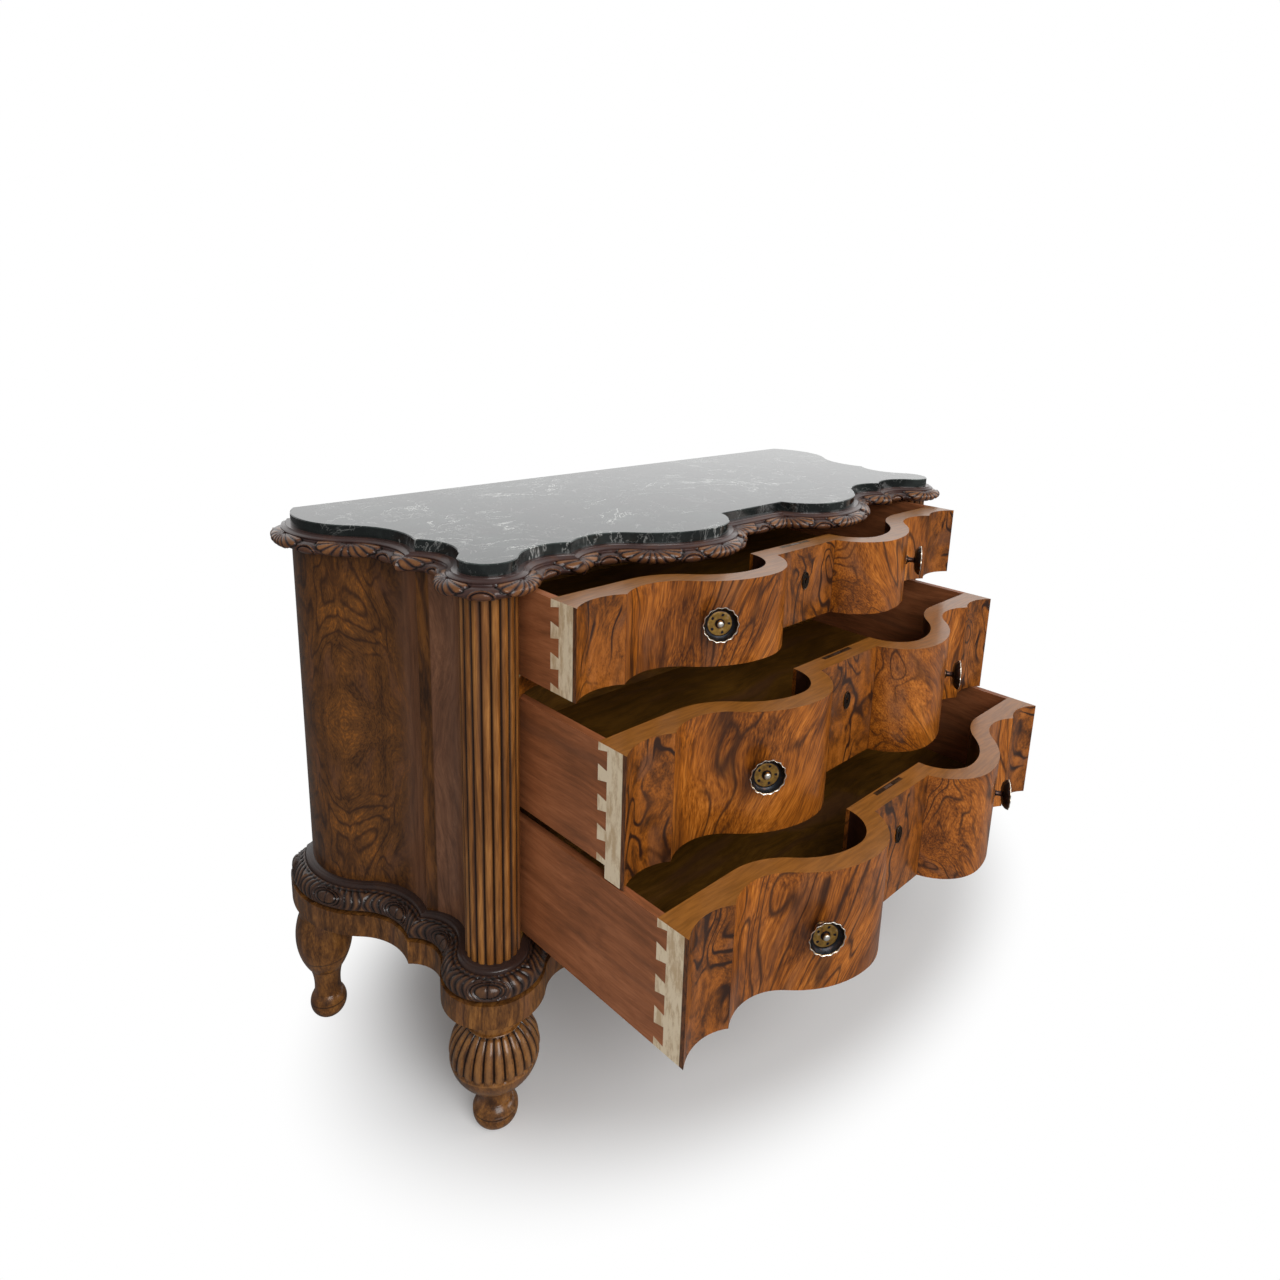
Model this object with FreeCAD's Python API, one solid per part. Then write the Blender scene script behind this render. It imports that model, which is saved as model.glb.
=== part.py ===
import FreeCAD, Part
import math
import os

V = FreeCAD.Vector

# Driving dimensions in millimetres. Z is up from the floor, -Y is the front and X = 0 is the middle.
# Y = 0 is the bottom of the hollows in a drawer front when the drawer is shut.

# Heights of the layers, from the floor up.
FOOT_HEIGHT = 257.5
PLINTH_HEIGHT = 42.5
SHADOW_GAP = 5.5
BASE_MOULDING_HEIGHT = 35.5
BOTTOM_BOARD_RISE = 11.1
LOWER_FRONT_HEIGHT = 203.6
LOWER_DIVIDER_GAP = 3.5
LOWER_DIVIDER_THICK = 19.8
MIDDLE_FRONT_HEIGHT = 185.5
UPPER_DIVIDER_THICK = 34.8
UPPER_FRONT_HEIGHT = 141.8
FRONT_GAP = 3.0
TOP_MOULDING_HEIGHT = 30.0
MARBLE_THICK = 18.0
MARBLE_CHAMFER = 1.5

# Plan of the front: a flat middle, a lobe on each side, a hollow, an edge and a cove that runs into the column.
DRAWER_HALF_WIDTH = 540.0
FLAT_Y = -17.0
LOBE_SHARE = 0.8
LOBE_SET_IN = 246.0
LOBE_Y = -87.0
LOBE_INSIDE_SHARE = 0.363
LOBE_OUTER_R = 185.0
VALLEY_R = 92.0
COVE_Y = -4.0
COVE_R = 84.0
COLUMN_R = 44.0
COLUMN_Y = -7.0
COLUMN_GAP = 2.0

# Plan of the sides: a cove behind the column, an edge, a hollow and a bulge that reaches the back.
SIDE_COVE_INSET = 9.0
SIDE_VALLEY_OUT = 28.0
SIDE_VALLEY_R = 135.0
BULGE_OUT = 116.0
BULGE_R = 140.0
BULGE_TO_BACK = 81.0
BACK_Y = 465.0

# Carcass boards.
PANEL_THICK = 20.0
BACK_PANEL_THICK = 12.0
BACK_PANEL_INSET = 2.0
REAR_POST_DEPTH = 50.0
REAR_POST_FROM_DRAWER = 40.0
RAIL_SETBACK = 1.0
GUIDE_WIDTH = 20.0
GUIDE_HEIGHT = 25.0
GUIDE_START_GAP = 4.0

# Mouldings: how far each part of the profile stands out from the plan.
TOP_MOULDING_BACK = 18.0
TOP_TORUS_FOOT = 14.0
TOP_TORUS_SWELL = 19.0
TOP_TORUS_HEIGHT = 23.0
TOP_FILLET_OUT = 8.0
TORUS_STEPS = 6
BASE_MOULDING_BACK = 12.0
BASE_TORUS_FOOT = 15.0
BASE_TORUS_SWELL = 24.0
BASE_TORUS_DROP = 5.5
BASE_TORUS_HEIGHT = 28.5
BASE_OGEE_OUT = 5.0
BASE_EASE = 0.5
TOP_EASE = 0.75
PLINTH_OUT = 41.0
PLINTH_FRONT_RAIL = 61.0
PLINTH_SIDE_RAIL = 140.0
PLINTH_REAR_RAIL = 50.0

# Reeded columns and turned feet.
REED_COUNT = 18
REED_DEPTH = 3.4
TENON_R = 15.0
TENON_LENGTH = 30.0
TENON_FIT = 0.1
FOOT_SOLE_R = 22.0
FRONT_BALL_R = 37.5
FRONT_ANKLE_R = 25.5
FRONT_BULB_FOOT_R = 30.0
FRONT_BULB_R = 75.0
FRONT_NECK_R = 46.0
BALL_MIDDLE = 30.0
BALL_TOP = 48.0
ANKLE_HOLLOW = 1.0
ANKLE_MIDDLE = 62.0
BULB_BOTTOM = 83.0
BULB_MIDDLE = 150.0
BULB_TOP = 206.0
GADROON_COUNT = 26
GADROON_R = 3.6
GADROON_LOW_ANGLE = -8.0
GADROON_HIGH_ANGLE = 58.0
REAR_FOOT_IN = 12.0
REAR_FOOT_TO_BACK = 52.0
REAR_BALL_R = 33.0
REAR_ANKLE_R = 25.0
REAR_BULB_FOOT_R = 29.0
REAR_BULB_R = 51.0
REAR_NECK_R = 42.0
REAR_ANKLE_MIDDLE = 74.0
REAR_BULB_BOTTOM = 102.0
REAR_BULB_MIDDLE = 170.0
REAR_BULB_TOP = 226.0

# Drawers.
FRONT_WALL = 36.0
LIP_THICK = 18.0
LIP_CLEARANCE = 2.0
LIP_DROP = 21.1
DRAWER_DEPTH = 445.0
SIDE_THICK = 14.0
RUNNING_GAP = 0.3
GUIDE_CLEARANCE = 1.5
DRAWER_BACK_DROP = 14.0
DRAWER_BACK_THICK = 14.0
BOTTOM_THICK = 8.0
BOTTOM_RISE = 8.0
BOTTOM_GROOVE = 6.0
TAIL_LENGTH = 19.0
TAIL_PITCH = 46.0
TAIL_ROOT_SHARE = 0.45
TAIL_FLARE = 4.5
UPPER_OPEN = 132.0
MIDDLE_OPEN = 241.0
LOWER_OPEN = 368.0

# Knobs, keyhole plates and locks.
KNOB_FROM_PEAK = 100.5
KNOB_RISE = 8.0
KNOB_SPIGOT_R = 4.0
KNOB_SPIGOT_LENGTH = 20.0
KNOB_COLLAR_R = 10.0
KNOB_COLLAR_LENGTH = 4.0
KNOB_STEM_R = 5.0
KNOB_STAND_OFF = 19.0
KNOB_R = 28.5
KNOB_RIM = 3.0
KNOB_DISH_DEPTH = 6.0
KNOB_BOSS_R = 5.5
KNOB_BOSS_HEIGHT = 7.0
PLATE_HALF_WIDTH = 10.0
PLATE_HALF_HEIGHT = 17.0
PLATE_THICK = 1.6
KEYHOLE_WIDTH = 3.0
KEYHOLE_HEIGHT = 12.0
UPPER_KEYHOLE_DROP = 63.0
LARGE_KEYHOLE_DROP = 81.0
LOCK_Y = 11.5
LOCK_CASE_WIDTH = 60.0
LOCK_CASE_THICK = 9.0
LOCK_CASE_BELOW_KEYHOLE = 12.0
LOCK_STRIP_WIDTH = 85.0
LOCK_STRIP_THICK = 2.5
BOLT_WIDTH = 22.0
BOLT_THICK = 5.0
BOLT_HEIGHT = 30.0
BOLT_TRAVEL = 9.0
BOLT_CLEARANCE = 0.3
POCKET_CLEARANCE = 0.7

# Levels worked out from the heights.
PLINTH_Z = FOOT_HEIGHT
BASE_BOARD_Z = PLINTH_Z + PLINTH_HEIGHT
BASE_MOULDING_Z = BASE_BOARD_Z + SHADOW_GAP
CARCASS_Z = BASE_MOULDING_Z + BASE_MOULDING_HEIGHT
LOWER_RUN_Z = CARCASS_Z + BOTTOM_BOARD_RISE
LOWER_Z = LOWER_RUN_Z + RUNNING_GAP
LOWER_TOP = LOWER_Z + LOWER_FRONT_HEIGHT
LOWER_DIVIDER_Z = LOWER_TOP + LOWER_DIVIDER_GAP
MIDDLE_RUN_Z = LOWER_DIVIDER_Z + LOWER_DIVIDER_THICK
MIDDLE_Z = MIDDLE_RUN_Z + RUNNING_GAP
MIDDLE_TOP = MIDDLE_Z + MIDDLE_FRONT_HEIGHT
UPPER_DIVIDER_Z = MIDDLE_TOP + FRONT_GAP
UPPER_RUN_Z = UPPER_DIVIDER_Z + UPPER_DIVIDER_THICK
UPPER_Z = UPPER_RUN_Z + RUNNING_GAP
UPPER_TOP = UPPER_Z + UPPER_FRONT_HEIGHT
CARCASS_TOP = UPPER_TOP + FRONT_GAP
MARBLE_Z = CARCASS_TOP + TOP_MOULDING_HEIGHT
TOP_Z = MARBLE_Z + MARBLE_THICK

# Places worked out from the plan.
LOBE_X = LOBE_SHARE * DRAWER_HALF_WIDTH - LOBE_SET_IN
LOBE_INNER_R = FRONT_WALL + LOBE_INSIDE_SHARE * LOBE_X
KNOB_X = LOBE_X + KNOB_FROM_PEAK
COLUMN_X = DRAWER_HALF_WIDTH + COLUMN_GAP + COLUMN_R
POST_INNER_X = DRAWER_HALF_WIDTH + COLUMN_GAP
REAR_POST_HALF_SPAN = DRAWER_HALF_WIDTH + REAR_POST_FROM_DRAWER
SIDE_COVE_X = COLUMN_X + SIDE_COVE_INSET
SIDE_VALLEY_X = COLUMN_X + SIDE_VALLEY_OUT
BULGE_X = COLUMN_X + BULGE_OUT
BACK_PANEL_Y = BACK_Y - BACK_PANEL_INSET - BACK_PANEL_THICK
BULGE_CENTRE = V(BULGE_X - BULGE_R, BACK_Y - BULGE_TO_BACK, 0)
COLUMN_CENTRE = V(COLUMN_X, COLUMN_Y, 0)
REAR_FOOT_Y = BACK_Y - REAR_FOOT_TO_BACK
REAR_FOOT_X = BULGE_X - REAR_FOOT_IN
LOBE_OUTER_CENTRE = V(LOBE_X, LOBE_Y + LOBE_OUTER_R, 0)
WELL_OUTSIDE = 2 * BULGE_X

# Each stretch of the half plan is (start, end, centre, turn): turn 1 goes round its centre anticlockwise,
# -1 clockwise, and a straight stretch has no centre.


def circles_meet(first, first_r, second, second_r, side):
    """The crossing of two circles to the left (side 1) or right (side -1) of the way between their centres."""
    way = second - first
    span = way.Length
    along = (first_r ** 2 - second_r ** 2 + span ** 2) / (2 * span)
    across = math.sqrt(first_r ** 2 - along ** 2)
    ahead = way * (1 / span)
    return first + ahead * along + V(-ahead.y, ahead.x, 0) * (across * side)


def towards(centre, radius, target):
    """The point of a circle that lies towards the target."""
    way = target - centre
    return centre + way * (radius / way.Length)


def leg(slant, other):
    return math.sqrt(slant ** 2 - other ** 2)


def valley_circle(out, ease):
    """The hollow beside a lobe, tangent to the lobe's outer slope."""
    radius = VALLEY_R - ease * out
    centre_y = -out - radius
    reach = leg(LOBE_OUTER_R + out + radius, LOBE_OUTER_CENTRE.y - centre_y)
    return V(LOBE_X + reach, centre_y, 0), radius


def cove_circle(out, ease):
    """The cove beside the drawers, tangent to the column."""
    radius = COVE_R - ease * out
    centre_y = COVE_Y - out - radius
    reach = leg(COLUMN_R + out + radius, COLUMN_Y - centre_y)
    return V(COLUMN_X - reach, centre_y, 0), radius


def side_cove_circle(out, ease):
    """The cove behind the column, tangent to it."""
    radius = COVE_R - ease * out
    centre_x = SIDE_COVE_X + out + radius
    reach = leg(COLUMN_R + out + radius, centre_x - COLUMN_X)
    return V(centre_x, COLUMN_Y + reach, 0), radius


def side_valley_circle(out, ease):
    """The hollow of the side, tangent to the bulge behind it."""
    radius = SIDE_VALLEY_R - ease * out
    centre_x = SIDE_VALLEY_X + out + radius
    reach = leg(BULGE_R + out + radius, centre_x - BULGE_CENTRE.x)
    return V(centre_x, BULGE_CENTRE.y - reach, 0), radius


def front_plan(out, ease=1.0):
    """The right half of the front, from the flat middle to the edge beside the cove, pushed out by a distance."""
    inner = V(LOBE_X, LOBE_Y + LOBE_INNER_R, 0)
    inner_r = LOBE_INNER_R + out
    outer_r = LOBE_OUTER_R + out
    valley, valley_r = valley_circle(out, ease)
    flat_y = FLAT_Y - out
    crease = V(LOBE_X - leg(inner_r, inner.y - flat_y), flat_y, 0)
    peak = V(LOBE_X, LOBE_Y - out, 0)
    lobe_end = towards(LOBE_OUTER_CENTRE, outer_r, valley)
    edge = circles_meet(valley, valley_r, *cove_circle(out, ease), 1)
    return [(crease, peak, inner, 1), (peak, lobe_end, LOBE_OUTER_CENTRE, 1), (lobe_end, edge, valley, -1)]


def corner_plan(out, ease=1.0):
    """Round the right corner, from the front edge past the column to the side edge."""
    column_r = COLUMN_R + out
    cove, cove_r = cove_circle(out, ease)
    side_cove, side_cove_r = side_cove_circle(out, ease)
    edge = circles_meet(*valley_circle(out, ease), cove, cove_r, 1)
    column_start = towards(COLUMN_CENTRE, column_r, cove)
    column_end = towards(COLUMN_CENTRE, column_r, side_cove)
    side_edge = circles_meet(side_cove, side_cove_r, *side_valley_circle(out, ease), 1)
    return [
        (edge, column_start, cove, -1),
        (column_start, column_end, COLUMN_CENTRE, 1),
        (column_end, side_edge, side_cove, -1),
    ]


def side_plan(out, ease=1.0):
    """The right side, from its edge to the back."""
    side_valley, side_valley_r = side_valley_circle(out, ease)
    bulge_r = BULGE_R + out
    side_edge = circles_meet(*side_cove_circle(out, ease), side_valley, side_valley_r, 1)
    bulge_start = towards(BULGE_CENTRE, bulge_r, side_valley)
    rear = V(BULGE_CENTRE.x + leg(bulge_r, BULGE_TO_BACK), BACK_Y, 0)
    return [(side_edge, bulge_start, side_valley, -1), (bulge_start, rear, BULGE_CENTRE, 1)]


def half_plan(out, ease=1.0):
    """The right half of the plan pushed out by a distance; hollow arcs tighten by ease times as much."""
    return front_plan(out, ease) + corner_plan(out, ease) + side_plan(out, ease)


def drawer_plan(out, end_x):
    """The front of the half plan with its hollow run straight to an end, as on the back of a drawer front."""
    plan = front_plan(out)
    lobe_end, _, valley, turn = plan[-1]
    bottom = V(valley.x, -out, 0)
    straight = (bottom, V(end_x, bottom.y, 0), None, 1)
    return plan[:2] + [(lobe_end, bottom, valley, turn), straight]


def face_plan():
    """The show face of a drawer front: the half plan as far as the end of the drawer, along the cove."""
    edge, _, cove, turn = corner_plan(0)[0]
    end = V(DRAWER_HALF_WIDTH, cove.y + leg(COVE_R, DRAWER_HALF_WIDTH - cove.x), 0)
    return front_plan(0) + [(edge, end, cove, turn)]


def flip(point):
    return V(-point.x, point.y, point.z) if point else None


def mirrored(path):
    """The path's mirror image, run the other way so that it leads up to the middle."""
    return [(flip(end), flip(start), flip(centre), turn) for start, end, centre, turn in reversed(path)]


def reversed_path(path):
    return [(end, start, centre, -turn) for start, end, centre, turn in reversed(path)]


def whole(path):
    """A half path that starts at the middle, joined to its mirror image by a straight stretch."""
    left = mirrored(path)
    return left + [(left[-1][1], path[0][0], None, 1)] + path


def edge_of(stretch, z):
    start, end, centre, turn = stretch
    rise = V(0, 0, z)
    if centre is None:
        return Part.LineSegment(start + rise, end + rise).toShape()
    first = math.atan2(start.y - centre.y, start.x - centre.x)
    last = math.atan2(end.y - centre.y, end.x - centre.x)
    middle = first + turn * ((turn * (last - first)) % (2 * math.pi)) / 2
    radius = (start - centre).Length
    half_way = centre + V(math.cos(middle), math.sin(middle), 0) * radius
    return Part.Arc(start + rise, half_way + rise, end + rise).toShape()


def wire_of(path, z):
    """A closed wire along a path, closed by a straight edge if it does not end where it began."""
    edges = [edge_of(stretch, z) for stretch in path]
    first, last = path[0][0], path[-1][1]
    if (first - last).Length > 1e-6:
        edges.append(edge_of((last, first, None, 1), z))
    return Part.Wire(edges)


def prism(path, bottom, top):
    return Part.Face(wire_of(path, bottom)).extrude(V(0, 0, top - bottom))


def between(outer, inner):
    """A closed path along one open path and back along another."""
    back = reversed_path(inner)
    across = (outer[-1][1], back[0][0], None, 1)
    return outer + [across] + back


def box(x0, x1, y0, y1, z0, z1):
    return Part.makeBox(x1 - x0, y1 - y0, z1 - z0, V(x0, y0, z0))


def slab(out, bottom, top, ease=1.0):
    """A board of the whole plan pushed out by a distance."""
    return prism(whole(half_plan(out, ease)), bottom, top)


def mirror_image(shape):
    return shape.mirror(V(0, 0, 0), V(1, 0, 0))


def both_sides(shape):
    return Part.makeCompound([shape, mirror_image(shape)])


def moulding_length(plan, profile, back, ease):
    """One length of moulding: a part of the plan at each (out, height) of the profile, with a plain back."""
    wires = []
    for out, height in profile:
        front, rear = plan(out, ease), plan(-back)
        if plan is front_plan:
            front, rear = whole(front), whole(rear)
        wires.append(wire_of(between(front, rear), height))
    return Part.makeLoft(wires, True, True)


def top_profile():
    """The rounded carved torus with a small fillet above it."""
    middle = CARCASS_TOP + TOP_TORUS_HEIGHT / 2
    points = []
    for step in range(TORUS_STEPS + 1):
        angle = math.pi * (step / TORUS_STEPS - 0.5)
        out = TOP_TORUS_FOOT + TOP_TORUS_SWELL * math.cos(angle)
        points.append((out, middle + TOP_TORUS_HEIGHT / 2 * math.sin(angle)))
    return points + [(TOP_FILLET_OUT, MARBLE_Z)]


def base_profile():
    """The carved quarter round with a small ogee above it."""
    middle = BASE_MOULDING_Z + BASE_TORUS_DROP
    rise = BASE_TORUS_HEIGHT - BASE_TORUS_DROP
    points = [(BASE_TORUS_FOOT + BASE_TORUS_SWELL, BASE_MOULDING_Z)]
    for step in range(TORUS_STEPS + 1):
        angle = math.pi / 2 * step / TORUS_STEPS
        out = BASE_TORUS_FOOT + BASE_TORUS_SWELL * math.cos(angle)
        points.append((out, middle + rise * math.sin(angle)))
    return points + [(BASE_OGEE_OUT, CARCASS_Z)]


def mouldings(name, profile, back, ease):
    lengths = {name + "_front": moulding_length(front_plan, profile, back, ease)}
    for part, plan in (("corner", corner_plan), ("side", side_plan)):
        right = moulding_length(plan, profile, back, ease)
        lengths[f"{name}_{part}_right"] = right
        lengths[f"{name}_{part}_left"] = mirror_image(right)
    return lengths


def marble():
    levels = [(0, MARBLE_Z), (0, TOP_Z - MARBLE_CHAMFER), (-MARBLE_CHAMFER, TOP_Z)]
    return Part.makeLoft([wire_of(whole(half_plan(out)), z) for out, z in levels], True, True)


def side_panel():
    path = between(side_plan(0), side_plan(-PANEL_THICK))
    return prism(path, CARCASS_Z, CARCASS_TOP)


def corner_post():
    """The post behind the column: hollow on its show face and scooped to take the column."""
    column_end, side_edge, side_cove, turn = corner_plan(0)[-1]
    scoop = V(POST_INNER_X, COLUMN_Y, 0)
    inner = V(POST_INNER_X, side_edge.y, 0)
    path = [
        (column_end, side_edge, side_cove, turn),
        (side_edge, inner, None, 1),
        (inner, scoop, None, 1),
        (scoop, column_end, COLUMN_CENTRE, -1),
    ]
    return prism(path, CARCASS_Z, CARCASS_TOP)


def reeded_column():
    """A column with rounded reeds all round it."""
    edges = []
    for reed in range(REED_COUNT):
        points = []
        for share, radius in ((0, COLUMN_R - REED_DEPTH), (0.5, COLUMN_R), (1, COLUMN_R - REED_DEPTH)):
            angle = 2 * math.pi * (reed + share) / REED_COUNT
            points.append(V(COLUMN_X + radius * math.cos(angle), COLUMN_Y + radius * math.sin(angle), CARCASS_Z))
        edges.append(Part.Arc(*points).toShape())
    return Part.Face(Part.Wire(edges)).extrude(V(0, 0, CARCASS_TOP - CARCASS_Z))


def column_space(bottom, top):
    return Part.makeCylinder(COLUMN_R, top - bottom, V(COLUMN_X, COLUMN_Y, bottom))


def rear_post():
    corner = box(REAR_POST_HALF_SPAN, BULGE_X, BACK_Y - REAR_POST_DEPTH, BACK_Y, CARCASS_Z, CARCASS_TOP)
    return corner.common(slab(-PANEL_THICK, CARCASS_Z, CARCASS_TOP))


def carcass_board(board, uprights):
    """A board trimmed to what stands between the uprights of the carcass, in front of the back panel."""
    behind = box(-WELL_OUTSIDE, WELL_OUTSIDE, BACK_PANEL_Y, WELL_OUTSIDE, 0, TOP_Z)
    return board.cut(Part.makeCompound(uprights + [behind]))


def lower_divider_board():
    front = drawer_plan(-LIP_THICK - LIP_CLEARANCE, BULGE_X)
    end = front[-1][1]
    back = V(end.x, BACK_Y, 0)
    path = whole(front + [(end, back, None, 1)])
    board = prism(path, LOWER_DIVIDER_Z, MIDDLE_RUN_Z)
    return board.common(slab(-PANEL_THICK, LOWER_DIVIDER_Z, MIDDLE_RUN_Z))


def bolt_pocket(front_top, board_z):
    """The pocket over a lock bolt in the board above a shut drawer."""
    half = BOLT_WIDTH / 2 + POCKET_CLEARANCE
    half_thick = BOLT_THICK / 2 + POCKET_CLEARANCE
    roof = front_top + BOLT_TRAVEL + POCKET_CLEARANCE
    return box(-half, half, LOCK_Y - half_thick, LOCK_Y + half_thick, board_z, roof)


def drawer_guides():
    """Strips on each board that keep the drawer sides straight."""
    start = corner_plan(0)[-1][1].y + GUIDE_START_GAP
    inner = DRAWER_HALF_WIDTH + GUIDE_CLEARANCE
    strips = []
    for level in (LOWER_RUN_Z, MIDDLE_RUN_Z, UPPER_RUN_Z):
        strip = box(inner, inner + GUIDE_WIDTH, start, BACK_PANEL_Y, level, level + GUIDE_HEIGHT)
        strips += [strip, mirror_image(strip)]
    return Part.makeCompound(strips)


def plinth():
    """The plinth frame, cut into a front with its corners, two sides and a rear rail."""
    side_x = BULGE_X - PLINTH_SIDE_RAIL
    rear_y = BACK_Y - PLINTH_REAR_RAIL
    edge_y = corner_plan(PLINTH_OUT, BASE_EASE)[-1][1].y
    z0, z1 = PLINTH_Z, BASE_BOARD_Z
    frame = slab(PLINTH_OUT, z0, z1, BASE_EASE)
    frame = frame.cut(box(-side_x, side_x, PLINTH_FRONT_RAIL, rear_y, z0, z1))
    for x, y in ((COLUMN_X, COLUMN_Y), (REAR_FOOT_X, REAR_FOOT_Y)):
        socket = Part.makeCylinder(TENON_R + TENON_FIT, TENON_LENGTH, V(x, y, z0))
        frame = frame.cut(both_sides(socket))
    far = WELL_OUTSIDE
    right = frame.common(box(side_x, far, edge_y, far, z0, z1))
    return {
        "plinth_front": frame.common(box(-far, far, -far, edge_y, z0, z1)),
        "plinth_right": right,
        "plinth_left": mirror_image(right),
        "plinth_rear": frame.common(box(-side_x, side_x, rear_y, far, z0, z1)),
    }


def turned_foot(x, y, ball, ankle, bulb_foot, bulb, neck, levels):
    """A turned foot from its sole to its neck, with a tenon on top; also the centre and radius of its bulb."""
    ankle_z, bulb_z, bulb_middle, bulb_top = levels
    bulb_arc = Part.Arc(V(bulb_foot, 0, bulb_z), V(bulb, 0, bulb_middle), V(neck, 0, bulb_top))
    edges = [
        Part.LineSegment(V(0, 0, 0), V(FOOT_SOLE_R, 0, 0)),
        Part.Arc(V(FOOT_SOLE_R, 0, 0), V(ball, 0, BALL_MIDDLE), V(ankle, 0, BALL_TOP)),
        Part.Arc(V(ankle, 0, BALL_TOP), V(ankle - ANKLE_HOLLOW, 0, ankle_z), V(bulb_foot, 0, bulb_z)),
        bulb_arc,
        Part.LineSegment(V(neck, 0, bulb_top), V(neck, 0, FOOT_HEIGHT)),
        Part.LineSegment(V(neck, 0, FOOT_HEIGHT), V(TENON_R, 0, FOOT_HEIGHT)),
        Part.LineSegment(V(TENON_R, 0, FOOT_HEIGHT), V(TENON_R, 0, FOOT_HEIGHT + TENON_LENGTH)),
        Part.LineSegment(V(TENON_R, 0, FOOT_HEIGHT + TENON_LENGTH), V(0, 0, FOOT_HEIGHT + TENON_LENGTH)),
        Part.LineSegment(V(0, 0, FOOT_HEIGHT + TENON_LENGTH), V(0, 0, 0)),
    ]
    face = Part.Face(Part.Wire([edge.toShape() for edge in edges]))
    foot = face.revolve(V(0, 0, 0), V(0, 0, 1), 360)
    foot.translate(V(x, y, 0))
    bulb_circle = bulb_arc.toShape().Curve
    return foot, bulb_circle.Center, bulb_circle.Radius


def gadroon_cuts(x, y, centre, radius):
    """Grooves down a bulb, each a round cutter swung along the bulb's own outline."""
    low = math.radians(GADROON_LOW_ANGLE)
    start = centre + V(math.cos(low), 0, math.sin(low)) * radius
    along = V(-math.sin(low), 0, math.cos(low))
    disc = Part.Face(Part.Wire(Part.makeCircle(GADROON_R, start, along)))
    groove = disc.revolve(centre, V(0, -1, 0), GADROON_HIGH_ANGLE - GADROON_LOW_ANGLE)
    grooves = []
    for count in range(GADROON_COUNT):
        turned = groove.copy()
        turned.rotate(V(0, 0, 0), V(0, 0, 1), 360 * count / GADROON_COUNT)
        turned.translate(V(x, y, 0))
        grooves.append(turned)
    return Part.makeCompound(grooves)


def feet():
    levels = (ANKLE_MIDDLE, BULB_BOTTOM, BULB_MIDDLE, BULB_TOP)
    front, centre, radius = turned_foot(COLUMN_X, COLUMN_Y, FRONT_BALL_R, FRONT_ANKLE_R,
                                        FRONT_BULB_FOOT_R, FRONT_BULB_R, FRONT_NECK_R, levels)
    front = front.cut(gadroon_cuts(COLUMN_X, COLUMN_Y, centre, radius))
    levels = (REAR_ANKLE_MIDDLE, REAR_BULB_BOTTOM, REAR_BULB_MIDDLE, REAR_BULB_TOP)
    rear = turned_foot(REAR_FOOT_X, REAR_FOOT_Y, REAR_BALL_R, REAR_ANKLE_R,
                       REAR_BULB_FOOT_R, REAR_BULB_R, REAR_NECK_R, levels)[0]
    return {
        "foot_front_right": front,
        "foot_front_left": mirror_image(front),
        "foot_rear_right": rear,
        "foot_rear_left": mirror_image(rear),
    }


def carcass():
    post = corner_post()
    panel = side_panel()
    stile = rear_post()
    uprights = []
    for shape in (post, panel, stile, column_space(CARCASS_Z, CARCASS_TOP)):
        uprights += [shape, mirror_image(shape)]
    rail = -RAIL_SETBACK
    upper = carcass_board(slab(rail, UPPER_DIVIDER_Z, UPPER_RUN_Z), uprights)
    lower = carcass_board(lower_divider_board(), uprights)
    bottom = carcass_board(slab(rail, CARCASS_Z, LOWER_RUN_Z), uprights)
    base = slab(-BASE_MOULDING_BACK, BASE_BOARD_Z, CARCASS_Z)
    top = slab(-TOP_MOULDING_BACK, CARCASS_TOP, MARBLE_Z)
    half = REAR_POST_HALF_SPAN
    column = reeded_column()
    nodes = {
        "marble_top": marble(),
        "sub_top_board": top.cut(bolt_pocket(UPPER_TOP, CARCASS_TOP)),
        "side_panel_right": panel,
        "side_panel_left": mirror_image(panel),
        "corner_post_right": post,
        "corner_post_left": mirror_image(post),
        "reeded_column_right": column,
        "reeded_column_left": mirror_image(column),
        "rear_post_right": stile,
        "rear_post_left": mirror_image(stile),
        "back_panel": box(-half, half, BACK_PANEL_Y, BACK_PANEL_Y + BACK_PANEL_THICK, CARCASS_Z, CARCASS_TOP),
        "upper_divider": upper.cut(bolt_pocket(MIDDLE_TOP, UPPER_DIVIDER_Z)),
        "lower_divider": lower.cut(bolt_pocket(LOWER_TOP, LOWER_DIVIDER_Z)),
        "bottom_board": base.fuse(bottom).removeSplitter(),
        "drawer_guides": drawer_guides(),
    }
    nodes.update(mouldings("top_moulding", top_profile(), TOP_MOULDING_BACK, TOP_EASE))
    nodes.update(mouldings("base_moulding", base_profile(), BASE_MOULDING_BACK, BASE_EASE))
    nodes.update(plinth())
    nodes.update(feet())
    return nodes


def tailed_side(bottom, top):
    """The right drawer side, with dovetails on its front end that run into the drawer front."""
    inner = DRAWER_HALF_WIDTH - SIDE_THICK
    side = box(inner, DRAWER_HALF_WIDTH, FRONT_WALL, DRAWER_DEPTH, bottom, top)
    count = max(2, round((top - bottom) / TAIL_PITCH))
    pitch = (top - bottom) / count
    for tail in range(count):
        middle = bottom + pitch * (tail + 0.5)
        root = pitch * TAIL_ROOT_SHARE / 2
        tip = root + TAIL_FLARE
        tip_y = FRONT_WALL - TAIL_LENGTH
        corners = [V(inner, FRONT_WALL, middle - root), V(inner, tip_y, middle - tip),
                   V(inner, tip_y, middle + tip), V(inner, FRONT_WALL, middle + root)]
        outline = Part.makePolygon(corners + corners[:1])
        side = side.fuse(Part.Face(outline).extrude(V(SIDE_THICK, 0, 0)))
    return side.removeSplitter()


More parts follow.
